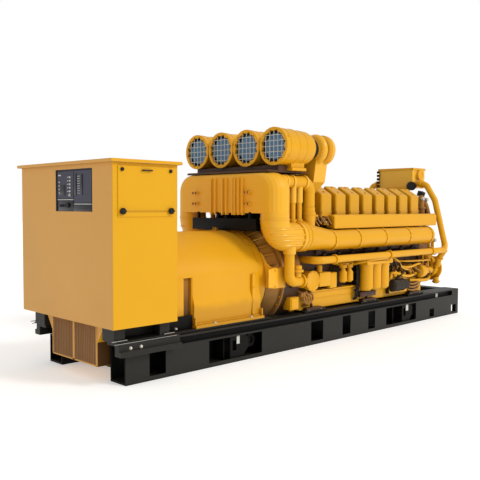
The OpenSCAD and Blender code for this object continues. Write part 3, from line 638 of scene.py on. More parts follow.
@dataclass
class Cabinet(Assembly):
    """Fittings of the rear cabinet: panel controls, cover screws, inlet borders and roof lip."""

    side_y: float = 0.863
    lip_x: Span = (-0.265, 0.545)
    lip_y: float = 0.897
    lip_z: Span = (2.093, 2.1)
    lip_t: float = 0.006
    knob_x: Span = (-0.136, 0.416)
    knob_z: float = 1.652
    knob: Profile = ((0.03, 0.018), (0.03, 0.034), (0.02, 0.042))
    knob_bar: Span = (0.028, 0.007)
    screw_z: float = 2.03
    screw: Profile = ((0.017, 0.012), (0.017, 0.022), (0.012, 0.026))
    handle: Block = ((0.076, 0.196), (0.879, 0.893), (2.022, 2.034))
    seam: Block = ((-0.1, 0.38), (0.878, 0.8835), (1.6505, 1.6535))
    glass: Blocks = (
        (((-0.231, -0.219), (-0.248, -0.213), (1.80, 2.005)), 0.004),
        (((-0.231, -0.219), (-0.353, -0.323), (1.80, 2.0)), 0.004),
        (((-0.226, -0.215), (-0.023, 0.094), (1.80, 1.9)), 0.004),
        (((-0.221, -0.213), (-0.5, -0.178), (1.63, 1.704)), 0.002),
        (((-0.2215, -0.213), (-0.178, 0.116), (1.63, 1.746)), 0.002),
    )
    strips: Blocks = (
        (((-0.228, -0.213), (-0.504, -0.2), (1.712, 1.719)), 0.001),
        (((-0.224, -0.209), (-0.176, 0.12), (1.754, 1.761)), 0.001),
        (((-0.227, -0.215), (0.054, 0.099), (1.99, 2.004)), 0.003),
    )
    panel_x: float = -0.215
    lamp: Profile = ((0.008, 0.0), (0.008, 0.012), (0.005, 0.016))
    lamp_at: Span = (0.079, 1.93)
    lamp_pitch: float = 0.035
    key_x: Span = (-0.227, -0.215)
    key_z: float = 1.83
    key_pitch: float = 0.034
    key_columns: tuple[Block, ...] = (((-0.128, -0.103), (0.0, 0.018), (0.0, -0.006)),
                                      ((-0.088, -0.073), (0.004, 0.014), (0.0, 0.0)))
    dot_x: Span = (-0.23, -0.219)
    dot_y: Span = (-0.273, -0.296)
    dot_z: float = 1.815
    dot_pitch: float = 0.023
    dot_size: Span = (0.012, 0.008)
    sign: Profile = ((0.022, 0.0), (0.022, 0.012), (0.013, 0.022))
    sign_at: Span = (-0.118, 1.80)
    switch: Profile = ((0.02, 0.0), (0.02, 0.014), (0.026, 0.016), (0.022, 0.026))
    switch_at: Span = (-0.088, 1.705)
    button: Profile = ((0.012, 0.0), (0.012, 0.012), (0.008, 0.017))
    button_at: Span = (-0.028, 1.7)
    button_pitch: float = 0.045
    border_x: Span = (-0.129, -0.12)
    border_y: tuple[Span, ...] = ((0.0, 0.018), (0.405, 0.423))
    border_z: tuple[Span, ...] = ((0.155, 0.172), (0.54, 0.556))
    rivet: Spot = (-0.128, 0.414, 0.19)
    rivet_pitch: float = 0.066
    wire: Block = ((-0.131, -0.126), (0.024, 0.03), (0.168, 0.544))
    wire_pitch: float = 0.0127
    wires: int = 30

    @fills("cabinet_roof_lip", SHEEN_YELLOW)
    def roof_lip(self, kit: Solid) -> None:
        """A folded lip under the roof's edge."""
        low, high = self.lip_x
        kit.box(self.lip_x, (self.lip_y - self.lip_t, self.lip_y), self.lip_z, 0.002)
        for x in (low, high - self.lip_t):
            kit.box((x, x + self.lip_t), (0.0, self.lip_y), self.lip_z, 0.002)

    @fills("cover_knobs", RUBBER)
    def knobs(self, kit: Solid) -> None:
        """Dark turn knobs, screws and handle of the side covers."""
        half, thick = self.knob_bar
        for x in self.knob_x:
            kit.turned((x, self.side_y, self.knob_z), Y, self.knob, 24)
            kit.box((x - half, x + half), (self.side_y + 0.036, self.side_y + 0.046),
                    (self.knob_z - thick, self.knob_z + thick), 0.003)
            kit.turned((x, self.side_y, self.screw_z), Y, self.screw, 20)
        kit.box(*self.handle, 0.003)

    @fills("cover_seams", BROWN)
    def seams(self, kit: Solid) -> None:
        """Brown seam between the turn knobs."""
        kit.box(*self.seam, 0.0008)

    @fills("panel_displays", GLASS, False)
    def displays(self, kit: Solid) -> None:
        """Displays and lower strips of the control panel."""
        kit.boxes(self.glass)

    @fills("panel_trim", PALE, False)
    def trim(self, kit: Solid) -> None:
        """Strips, lamps, key caps and a blank sign on the control panel."""
        kit.boxes(self.strips)
        y, z = self.lamp_at
        for k in range(4):
            kit.turned((self.panel_x, y, z - self.lamp_pitch * k), BACK, self.lamp, 14)
        for k in range(5):
            low = self.key_z + self.key_pitch * k
            for y, z, change in self.key_columns:
                kit.box(self.key_x, (y[0], y[1] + change[k % 2]), (low + z[0], low + z[1]), 0.004)
        wide, high = self.dot_size
        for low in (self.dot_z + self.dot_pitch * k for k in range(8)):
            for y in self.dot_y:
                kit.box(self.dot_x, (y - wide / 2, y + wide / 2), (low, low + high), 0.002)
        kit.turned((self.panel_x, *self.sign_at), BACK, self.sign, 3)

    @fills("panel_keys", RUBBER, False)
    def keys(self, kit: Solid) -> None:
        """A turn switch and three push buttons."""
        kit.turned((self.panel_x, *self.switch_at), BACK, self.switch, 22)
        for k in range(3):
            y, z = self.button_at
            kit.turned((self.panel_x, y + self.button_pitch * k, z), BACK, self.button, 16)

    @fills("inlet_borders", SHEEN_YELLOW)
    def inlet_borders(self, kit: Solid) -> None:
        """Folded borders and rivets round the two inlet screens."""
        for y in self.border_y:
            kit.box(self.border_x, y, (self.border_z[0][0], self.border_z[1][1]), 0.002)
        for z in self.border_z:
            kit.box(self.border_x, (0.0, 0.42), z, 0.002)
        x, y, z = self.rivet
        for k in range(6):
            kit.bolt((x, y, z + self.rivet_pitch * k), BACK, 0.005)

    @fills("inlet_wires", LOUVRE)
    def inlet_wires(self, kit: Solid) -> None:
        """Upright wires in front of the inlet screens."""
        x, y, z = self.wire
        for step in (self.wire_pitch * k for k in range(self.wires)):
            kit.box(x, (y[0] + step, y[1] + step), z, 0.001)


@dataclass
class Alternator(Assembly):
    """Skirts, plates, bolts and lifting eyes of the alternator."""

    radius: float = 0.573
    inner_r: float = 0.53
    skirt_x: Span = (0.62, 1.32)
    skirt_turns: Row = tuple(45.0 + 2.0 * k for k in range(18))
    skirt_out: Span = (0.0015, 0.019)
    flare_x: Span = (0.94, 1.0)
    flare: Profile = ((0.583, 0.9), (0.5833, 0.785), (0.5845, 0.755), (0.589, 0.725), (0.597, 0.695),
                      (0.605, 0.667), (0.609, 0.645), (0.609, 0.625), (0.606, 0.59), (0.595, 0.45))
    seal_x: Span = (2.05, 2.058)
    seal_r: Span = (0.53, 0.5835)
    seal_turn: Span = (-130.0, 130.0)
    ribs: Blocks = (
        (((1.8, 1.85), (0.58, 0.616), (0.47, 0.93)), 0.01),
        (((0.93, 1.945), (0.58, 0.616), (0.447, 0.466)), 0.004),
        (((0.93, 0.948), (0.56, 0.64), (0.45, 0.53)), 0.004),
        (((1.93, 1.948), (0.56, 0.64), (0.45, 0.53)), 0.004),
    )
    eyes: Path = ((1.12, 0.0, 1.401), (1.78, 0.0, 1.401))
    eye: Profile = ((0.05, 0.0), (0.05, 0.018), (0.03, 0.025), (0.03, 0.05))
    neck_x: Span = (0.62, 0.93)
    neck_r: Span = (0.5, 0.574)
    neck_turn: Span = (-48.0, 48.0)
    neck_sides: tuple[Span, ...] = ((-0.578, -0.52), (0.52, 0.578))
    neck_side_x: Span = (0.62, 0.822)
    neck_side_z: Span = (0.44, 0.98)
    slot_at: Spot = (0.874, 0.515, 0.93)
    slot_half: float = 0.05
    slot_low: float = 0.43
    slot_t: float = 0.03
    rim_bolts: Spot = (1.95, 0.0, SHAFT_Z)
    rib_bolts: Path = ((1.825, 0.616, 0.62), (1.825, 0.616, 0.78))

    @fills("alternator_skirts", DRUM_YELLOW)
    def skirts(self, kit: Solid) -> None:
        """Smooth sheets from the drum's flank down to the foot, flared at the lower part."""
        start, long = self.skirt_x
        outer, inner = [], []
        for k, degrees in enumerate(self.skirt_turns):
            turn = math.radians(degrees)
            share = k / (len(self.skirt_turns) - 1)
            out = self.skirt_out[0] + self.skirt_out[1] * share * share * (3.0 - 2.0 * share)
            outer.append(around(start, turn, self.radius + out))
            inner.append(around(start, turn, self.inner_r))
        kit.sheet(outer + inner[::-1], (long, 0.0, 0.0))
        start, long = self.flare_x
        _, *edge = outer[-1]
        back = ((self.inner_r, self.flare[-1][1]), (self.inner_r, edge[1]))
        kit.sheet([(start, y, z) for y, z in (edge, *self.flare, *back)], (long, 0.0, 0.0))

    @fills("alternator_seal", RUBBER, False)
    def seal(self, kit: Solid) -> None:
        """Dark seal between the rim and the coupling."""
        kit.arc(self.seal_x, SHAFT_Z, self.seal_r, self.seal_turn, 96)

    @fills("alternator_plates", DRUM_YELLOW)
    def plates(self, kit: Solid) -> None:
        """Upright ribs, foot strips, gussets and lifting eyes."""
        kit.boxes(self.ribs)
        for at in self.eyes:
            kit.turned(at, Z, self.eye, 20)

    @fills("alternator_neck_band", DRUM_YELLOW, False)
    def neck(self, kit: Solid) -> None:
        """Sheet band over the upper part of the neck, and its sides."""
        kit.arc(self.neck_x, SHAFT_Z, self.neck_r, self.neck_turn)
        for y in self.neck_sides:
            kit.box(self.neck_side_x, y, self.neck_side_z, 0.006)

    @fills("alternator_neck_slots", BROWN_SHADE)
    def slots(self, kit: Solid) -> None:
        """Upright round-topped channels in the neck, as sheets in brown paint that paints their shade."""
        x, y, z = self.slot_at
        half = self.slot_half
        turns = [math.pi * k / 12 for k in range(13)]
        top = [(x + half * math.cos(t), y, z + half * math.sin(t)) for t in turns]
        kit.sheet([*top, (x - half, y, self.slot_low), (x + half, y, self.slot_low)], (0.0, self.slot_t, 0.0))

    @fills("alternator_bolts", YELLOW)
    def bolts(self, kit: Solid) -> None:
        """Bolts of the rim and the side ribs."""
        kit.bolt_ring(self.rim_bolts, BACK, self.radius + 0.002, 28, 0.008)
        for at in self.rib_bolts:
            kit.bolt(at, Y, 0.011)


@dataclass
class Flywheel(Assembly):
    """Ribs, bolts, guards, feet and hoses round the coupling and flywheel housings."""

    rib_ends: Profile = ((2.06, 0.542), (2.25, 0.606))
    rim_at: Spot = (2.287, 0.0, SHAFT_Z)
    rim_r: Span = (0.6, 0.645)
    bolt_circle: Span = (2.288, 0.622)
    bolts_above: float = 0.46
    guard_y: float = 0.686
    cover_t: float = 0.008
    guard_bolt_x: Span = (2.09, 2.26)
    guard_bolt_z: Span = (0.775, 0.96)
    flange_x: Span = (2.046, 0.012)
    flange_r: float = 0.5855
    flange_edge: Profile = ((0.53, 1.13), (0.6, 1.03), (0.686, 0.985), (0.686, 0.76))
    guard_cover: Block = ((1.985, 2.27), (0.684, 0.694), (0.762, 0.978))
    feet_x: Spot = (2.7, 3.87, 5.03)
    foot: Block = ((0.0, 0.3), (0.59, 0.665), (0.42, 0.45))
    web: Profile = ((0.598, 0.44), (0.64, 0.44), (0.60, 0.54), (0.598, 0.54))
    web_x: Span = (0.14, 0.016)
    # the first pad paints the shadow under the oil filters and the pan's ledge
    dark_pads: Blocks = (
        (((3.81, 4.17), (0.59, 0.664), (0.485, 0.552)), 0.006),
        (((4.99, 5.24), (0.6, 0.672), (0.47, 0.6)), 0.02),
    )
    stub_at: Spot = (2.38, 0.78, 0.87)
    stub: Profile = ((0.05, 0.0), (0.05, 0.06), (0.075, 0.06), (0.075, 0.085), (0.055, 0.09), (0.055, 0.13),
                     (0.04, 0.14))
    elbow_flange: Spot = (2.44, 0.78, 0.82)
    drive_at: Spot = (2.74, 0.715, 0.79)
    drive: Profile = ((0.126, 0.0), (0.126, 0.012), (0.108, 0.018), (0.1, 0.012), (0.02, 0.012))
    drive_bolts: Spot = (2.74, 0.73, 0.79)
    low_box: Blocks = (
        (((2.4, 2.55), (0.54, 0.662), (0.455, 0.61)), 0.008),
        (((2.415, 2.535), (0.655, 0.671), (0.47, 0.595)), 0.006),
    )
    hose_x: float = 2.57
    hose_pitch: float = 0.04
    hose_nut: Profile = ((0.022, 0.0), (0.022, 0.035), (0.016, 0.045))

    @fills("housing_ribs", COUPLING_SHADE, False)
    def ribs(self, kit: Solid) -> None:
        """Ribs over the flared coupling housing and rim of the flywheel housing."""
        for turn in (math.radians(12.0 * k) for k in range(-7, 8)):
            kit.rod(*(around(x, turn, r) for x, r in self.rib_ends), 0.014, 8)
        kit.ring(self.rim_at, X, self.rim_r, 0.03, 96)

    @fills("housing_bolts", YELLOW, False)
    def bolts(self, kit: Solid) -> None:
        """Bolts round the housing's rear face and on the guards."""
        x, r = self.bolt_circle
        for turn in (math.radians(10.0 * k) for k in range(36)):
            at = around(x, turn, r)
            if at[2] > self.bolts_above:
                kit.bolt(at, BACK, 0.012)
        for x in self.guard_bolt_x:
            for z in self.guard_bolt_z:
                for side in SIDES:
                    kit.bolt((x, side * (self.guard_y + self.cover_t), z), (0, side, 0), 0.011)

    @fills("guard_flanges", CAST_YELLOW)
    def guard_flanges(self, kit: Solid) -> None:
        """Flange of each guard along the alternator's rim, and the sheet over the guard's side."""
        x, thick = self.flange_x
        rim = [around(x, math.radians(98.0 - 6.0 * k), self.flange_r) for k in range(8)]
        kit.sheet([*rim, *((x, *corner) for corner in self.flange_edge)], (thick, 0.0, 0.0))
        kit.box(*self.guard_cover, 0.003)

    @fills("engine_feet", DARK_SHADE)
    def feet(self, kit: Solid) -> None:
        """Mounting feet between the engine and the rails, and dark pads above them, the first painting the
        shadow under the oil filters.
        """
        span, y, z = self.foot
        offset, thick = self.web_x
        for x in self.feet_x:
            kit.box((x + span[0], x + span[1]), y, z)
            kit.sheet([(x + offset, *corner) for corner in self.web], (thick, 0.0, 0.0))
        kit.boxes(self.dark_pads)

    @fills("drop_pipe_flanges", YELLOW)
    def drop_pipe(self, kit: Solid) -> None:
        """Stub and flange of the drop pipe's elbow, the side drive's cover and a box below."""
        kit.turned(self.stub_at, Z, self.stub, 24)
        kit.ring(self.elbow_flange, X, (0.06, 0.082), 0.022, 24)
        kit.turned(self.drive_at, Y, self.drive, 40)
        kit.bolt_ring(self.drive_bolts, Y, 0.114, 10, 0.009)
        kit.boxes(self.low_box)

    @fills("side_drive_hoses", BROWN)
    def hoses(self, kit: Solid) -> None:
        """Hoses and unions below the side drive."""
        for k in range(5):
            x = self.hose_x + self.hose_pitch * k
            kit.tube([(x, 0.58, 0.68), (x + 0.03, 0.68, 0.64 - 0.02 * (k % 2)), (x + 0.05, 0.69, 0.56),
                      (x + 0.12 - 0.03 * k, 0.66, 0.5), (x + 0.1, 0.58, 0.47)], 0.013)
            kit.turned((x + 0.02, 0.67, 0.6 + 0.015 * (k % 3)), Z, self.hose_nut, 8)


@dataclass
class Engine(Assembly):
    """Bolts, covers, feed lines and hoses along the engine's banks and crankcase."""

    first_x: float = 2.99
    pitch: float = 0.297
    cylinders: int = 8
    tilt: float = math.radians(30.0)
    bank: Span = (0.402, 1.495)
    head_h: float = 0.15
    cover_h: float = 0.28
    cover_bolts: Span = (-0.16, -0.03)
    inspection: Blocks = (
        (((0.03, 0.27), (0.518, 0.538), (0.69, 0.93)), 0.012),
        (((0.06, 0.24), (0.53, 0.548), (0.72, 0.9)), 0.01),
    )
    inspection_bolts: tuple[Spot, Span] = ((0.044, 0.15, 0.256), (0.704, 0.916))
    pan_strips: Blocks = (
        (((2.63, 5.44), (0.50, 0.625), (0.632, 0.65)), 0.003),
        (((2.64, 5.43), (0.6, 0.606), (0.54, 0.552)), 0.002),
    )
    pan_bolt: Spot = (2.68, 0.612, 0.651)
    fuel_x: Row = (2.75, 2.8, 2.86, 2.93, 3.0)
    fuel_nut: Profile = ((0.018, 0.0), (0.018, 0.03), (0.012, 0.04))
    fuel_loop: Path = ((2.72, 0.55, 1.62), (2.8, 0.6, 1.66), (2.92, 0.58, 1.58), (3.08, 0.62, 1.6))
    valve_blocks: Blocks = (
        (((2.79, 2.85), (0.62, 0.71), (1.53, 1.6)), 0.012),
        (((2.95, 3.0), (0.64, 0.73), (1.47, 1.52)), 0.01),
    )
    sleeve_at: Spot = (2.673, 0.7, 1.43)
    sleeve: Profile = ((0.07, 0.0), (0.079, 0.01), (0.079, 0.17), (0.088, 0.17), (0.088, 0.2), (0.077, 0.2),
                       (0.077, 0.26))
    clip_x: Row = (2.76, 2.83, 2.9, 2.97, 3.05)
    drop_cables: Span = (3.71, 3.745)
    cable_straps: Row = (0.58, 0.7, 0.82, 0.93)
    corner_cables: Spot = (4.3, 4.4, 4.5)
    long_cable: Path = ((2.9, 0.56, 1.02), (3.3, 0.585, 1.06), (4.2, 0.58, 1.05), (5.3, 0.58, 1.07))
    feed_boxes: Blocks = (
        (((2.9, 3.12), (0.54, 0.7), (0.7, 0.88)), 0.015),
        (((3.16, 3.3), (0.54, 0.66), (0.66, 0.86)), 0.012),
        (((3.34, 3.6), (0.56, 0.7), (0.94, 0.97)), 0.006),
    )
    feed_cap: Path = ((2.94, 0.66, 0.88), (2.94, 0.66, 0.97))
    bowls: Path = ((3.4, 0.68, 0.72), (3.53, 0.68, 0.72))
    bowl: Profile = ((0.03, 0.0), (0.052, 0.02), (0.052, 0.13), (0.03, 0.16), (0.03, 0.19), (0.05, 0.19),
                     (0.05, 0.23), (0.02, 0.24))
    filter_loop: Path = ((3.68, 0.6, 0.93), (3.73, 0.78, 0.98), (3.9, 0.83, 1.0), (4.2, 0.83, 1.0),
                         (4.37, 0.78, 0.95), (4.45, 0.64, 0.86))
    filters: Path = ((3.857, 0.72, 0.9), (4.047, 0.72, 0.9), (4.237, 0.72, 0.9))
    filter_head: Profile = ((0.094, 0.0), (0.094, 0.03), (0.07, 0.034))
    filter_cap: Profile = ((0.05, 0.076), (0.05, 0.096), (0.02, 0.106))
    starter_bands: Path = ((4.54, 0.688, 0.585), (4.66, 0.688, 0.585), (4.77, 0.688, 0.585))
    starter_end: Spot = (4.505, 0.688, 0.585)
    starter_cable: Path = ((4.6, 0.72, 0.68), (4.66, 0.76, 0.74), (4.8, 0.72, 0.79), (4.9, 0.6, 0.84))
    pump_pipes: tuple[Pipe, ...] = (
        (((4.5, 0.62, 0.8), (4.66, 0.7, 0.84), (4.95, 0.71, 0.83), (5.2, 0.7, 0.86),
          (5.4, 0.62, 0.84)), 0.018, 10),
        (((4.62, 0.64, 0.93), (4.85, 0.72, 0.92), (5.15, 0.73, 0.91), (5.5, 0.7, 0.9),
          (5.72, 0.6, 0.86)), 0.014, 10),
        (((5.05, 0.64, 0.62), (5.25, 0.68, 0.61), (5.5, 0.67, 0.6), (5.72, 0.58, 0.62)), 0.024, 12),
        (((5.5, 0.58, 1.02), (5.62, 0.66, 0.95), (5.7, 0.66, 0.88), (5.74, 0.58, 0.84)), 0.022, 10),
        (((4.3, 0.66, 0.98), (4.44, 0.76, 0.985), (4.56, 0.77, 0.93), (4.7, 0.74, 0.84), (4.86, 0.72, 0.8),
          (5.06, 0.66, 0.79)), 0.014, 10),
        (((4.45, 0.64, 0.74), (4.55, 0.72, 0.77), (4.74, 0.74, 0.72), (4.95, 0.72, 0.7),
          (5.2, 0.66, 0.72)), 0.02, 10),
    )
    pump_union_at: Spot = (5.55, 0.64, 0.9)
    pump_union: Profile = ((0.05, 0.0), (0.05, 0.05), (0.07, 0.05), (0.07, 0.07), (0.04, 0.075), (0.04, 0.12))
    pump_block: Block = ((5.0, 5.1), (0.54, 0.66), (0.7, 0.86))
    valve: Profile = ((0.026, 0.0), (0.03, 0.012), (0.03, 0.04), (0.016, 0.05), (0.016, 0.08))
    valves: Path = ((4.46, 0.7, 0.7), (4.57, 0.7, 0.72), (4.68, 0.7, 0.7), (4.79, 0.7, 0.72))
    risers: tuple = (((5.44, 0.63, 0.76), (5.44, 0.63, 1.0), 0.018),
                     ((5.6, 0.62, 0.72), (5.6, 0.62, 0.98), 0.022))
    pump_bolts: Spot = (5.275, 0.658, 0.74)
    hose_x: float = 4.46
    hose_pitch: float = 0.15
    hose_nut: Profile = ((0.026, 0.0), (0.026, 0.04), (0.018, 0.05))
    low_hoses: Spot = (0.6, 0.555, 0.51)
    cover_at: Spot = (5.87, 0.51, 0.745)
    cover: Profile = ((0.1, 0.0), (0.19, 0.006), (0.19, 0.035), (0.165, 0.045), (0.165, 0.08), (0.1, 0.1))
    cover_ring: Spot = (5.905, 0.51, 0.745)
    inlet: Path = ((5.74, 0.83, 1.05), (5.76, 0.77, 0.98), (5.785, 0.705, 0.9), (5.8, 0.68, 0.82),
                   (5.83, 0.6, 0.76))
    drain_at: Spot = (5.86, 0.62, 0.61)
    drain: Profile = ((0.045, 0.0), (0.045, 0.06), (0.06, 0.06), (0.06, 0.08), (0.03, 0.1))
    struts: Span = (5.5, 5.6)
    damper_bolts: tuple = ((5.78, 0.15, 12, 0.016), (5.87, 0.265, 16, 0.012))
    end_cover: Profile = ((0.13, 0.0), (0.13, 0.02), (0.11, 0.028))
    end_plate: Block = ((5.745, 5.77), (-0.2, 0.2), (1.2, 1.44))

    def across(self, s: float, h: float) -> Span:
        """A point of the bank's section, from distances along and square to the deck."""
        return (self.bank[0] + s * math.cos(self.tilt) + h * math.sin(self.tilt),
                self.bank[1] - s * math.sin(self.tilt) + h * math.cos(self.tilt))

    def starts(self) -> list[float]:
        """Station of each cylinder."""
        return [self.first_x + i * self.pitch for i in range(self.cylinders)]

    @fills("rocker_cover_fittings", YELLOW)
    def cover_fittings(self, kit: Solid) -> None:
        """Base flanges, bolts and caps of the rocker covers."""
        square = (0.0, math.sin(self.tilt), math.cos(self.tilt))
        low = self.across(0.10, self.head_h + 0.012)[1]
        cap_y, cap_z = self.across(-0.2, self.head_h + 0.04)
        for x in self.starts():
            for s in self.cover_bolts:
                kit.bolt((x + 0.11, *self.across(s, self.head_h + self.cover_h)), square, 0.016)
            kit.box((x - 0.002, x + 0.222), (0.618, 0.65), (low - 0.012, low + 0.012))
            for place in (x + 0.02, x + 0.2):
                kit.bolt((place, 0.64, low + 0.045), Y, 0.01)
            kit.rod((x + 0.1, cap_y, cap_z), (x + 0.1, cap_y - 0.1, cap_z - 0.06), 0.035, 18)

    @fills("crankcase_covers", DARK_SHADE)
    def crankcase(self, kit: Solid) -> None:
        """Bolted inspection covers along the crankcase."""
        columns, rows = self.inspection_bolts
        for x in self.starts():
            for (span, y, z), edge in self.inspection:
                kit.box((x + span[0], x + span[1]), y, z, edge)
            for column in columns:
                for z in rows:
                    kit.bolt((x + column, 0.538, z), Y, 0.01)
            kit.rod((x + 0.15, 0.52, 1.0), (x + 0.15, 0.585, 1.12), 0.03, 14)

    @fills("oil_pan_lip", YELLOW)
    def pan_lip(self, kit: Solid) -> None:
        """Lip between pan and crankcase, with bolts, and a strip on the pan."""
        kit.boxes(self.pan_strips)
        x, y, z = self.pan_bolt
        for k in range(28):
            kit.bolt((x + 0.1 * k, y, z), Z, 0.009)

    @fills("rear_fuel_lines", BROWN)
    def fuel_lines(self, kit: Solid) -> None:
        """Fuel lines and unions behind the first cylinder."""
        for k, x in enumerate(self.fuel_x):
            z = 1.47 + 0.02 * (k % 3)
            kit.tube([(x, 0.56, z + 0.1), (x + 0.02, 0.7, z + 0.07), (x + 0.06, 0.74, z),
                      (x + 0.12, 0.7, z + 0.04 * (k % 2))], 0.01)
            kit.turned((x + 0.02, 0.69, z + 0.07), Y, self.fuel_nut, 8)
        kit.tube(self.fuel_loop, 0.014)

    @fills("rear_fuel_blocks", YELLOW)
    def fuel_blocks(self, kit: Solid) -> None:
        """Valve blocks among the fuel lines and the sleeve at the crossover's lower end."""
        kit.boxes(self.valve_blocks)
        kit.turned(self.sleeve_at, Z, self.sleeve, 30)

    @fills("side_cables", RUBBER)
    def cables(self, kit: Solid) -> None:
        """Dark clips beside the fuel lines, and cables down and along the side."""
        for k, x in enumerate(self.clip_x):
            kit.rod((x, 0.6, 1.46 + 0.03 * (k % 2)), (x + 0.02, 0.72, 1.5), 0.018, 10)
        for x in self.drop_cables:
            kit.tube([(x, 0.62, 1.0), (x, 0.665, 0.92), (x + 0.01, 0.67, 0.7), (x + 0.01, 0.65, 0.52),
                      (x, 0.62, 0.46)], 0.012)
        for z in self.cable_straps:
            kit.box((3.695, 3.77), (0.63, 0.68), (z, z + 0.02))
        for x in self.corner_cables:
            kit.tube([(x, 0.68, 1.0), (x + 0.04, 0.76, 0.95), (x + 0.12, 0.76, 0.86),
                      (x + 0.22, 0.66, 0.8)], 0.013)
        kit.tube(self.long_cable, 0.024)

    @fills("side_fuel_units", YELLOW)
    def fuel_units(self, kit: Solid) -> None:
        """Feed pump, two bowl filters, boxes and the loop over the oil filters."""
        kit.boxes(self.feed_boxes)
        kit.rod(*self.feed_cap, 0.035, 16)
        for at in self.bowls:
            kit.turned(at, Z, self.bowl, 20)
        kit.tube(self.filter_loop, 0.02, 10)
        for at in self.filters:
            kit.turned(at, Z, self.filter_head, 28)
            kit.turned(at, Z, self.filter_cap, 16)

    @fills("starter_fittings", IRON)
    def starters(self, kit: Solid) -> None:
        """Bands and end bolts of the starting motors, and their cable."""
        for at in self.starter_bands:
            kit.ring(at, X, (0.075, 0.086), 0.016, 32, 0.002)
        kit.bolt_ring(self.starter_end, BACK, 0.045, 5, 0.008)
        kit.tube(self.starter_cable, 0.012)

    @fills("front_pump_pipes", YELLOW)
    def front_pipes(self, kit: Solid) -> None:
        """Small pipes, valves and unions round the front pumps."""
        kit.pipes(self.pump_pipes)
        kit.turned(self.pump_union_at, Z, self.pump_union, 22)
        kit.box(*self.pump_block, 0.012)
        for at in self.valves:
            kit.turned(at, (0, 0.3, 1), self.valve, 12)
        for low, high, r in self.risers:
            kit.rod(low, high, r, 12)
        kit.bolt_ring(self.pump_bolts, BACK, 0.07, 6, 0.01)

    @fills("front_hoses", BROWN)
    def front_hoses(self, kit: Solid) -> None:
        """Stained hoses and fittings in the shade of the front corner."""
        for k in range(7):
            x = self.hose_x + self.hose_pitch * k
            kit.tube([(x, 0.56, 0.93 - 0.02 * k), (x + 0.08, 0.68, 0.86 - 0.015 * k),
                      (x + 0.2, 0.7, 0.7 + 0.03 * (k % 3)), (x + 0.26, 0.58, 0.66)], 0.012 + 0.003 * (k % 3))
            kit.turned((x + 0.1, 0.67, 0.8), Z, self.hose_nut, 8)
        for z in self.low_hoses:
            kit.tube([(4.96, 0.62, z), (5.04, 0.69, z - 0.03), (5.18, 0.7, z - 0.01),
                      (5.32, 0.62, z + 0.05)], 0.014)

    @fills("water_pump_covers", YELLOW)
    def pump_covers(self, kit: Solid) -> None:
        """Bolted covers of the water pumps, their inlets and drains, and struts to the air pipe."""
        kit.turned(self.cover_at, X, self.cover, 48)
        kit.bolt_ring(self.cover_ring, X, 0.178, 12, 0.011)
        kit.ring(self.inlet[2], (-0.1, 0.3, 1), (0.045, 0.066), 0.024, 24)
        kit.tube(self.inlet, 0.045, 14)
        kit.turned(self.drain_at, (0, 0, -1), self.drain, 22)
        for x in self.struts:
            kit.rod((x, 0.7, 1.06), (x, 0.7, 1.2), 0.024, 12)

    @fills("front_cover_bolts", SHADED_STREAKED, False)
    def front_face(self, kit: Solid) -> None:
        """Bolts and covers on the free end."""
        for x, r, count, size in self.damper_bolts:
            kit.bolt_ring((x, 0.0, SHAFT_Z), X, r, count, size)
        for side in SIDES:
            kit.bolt_ring((5.775, side * 0.49, 0.76), X, 0.145, 8, 0.012)
            kit.turned((5.745, side * 0.4, 1.18), X, self.end_cover, 36)
            kit.bolt_ring((5.765, side * 0.4, 1.18), X, 0.118, 10, 0.01)
        kit.box(*self.end_plate, 0.008)


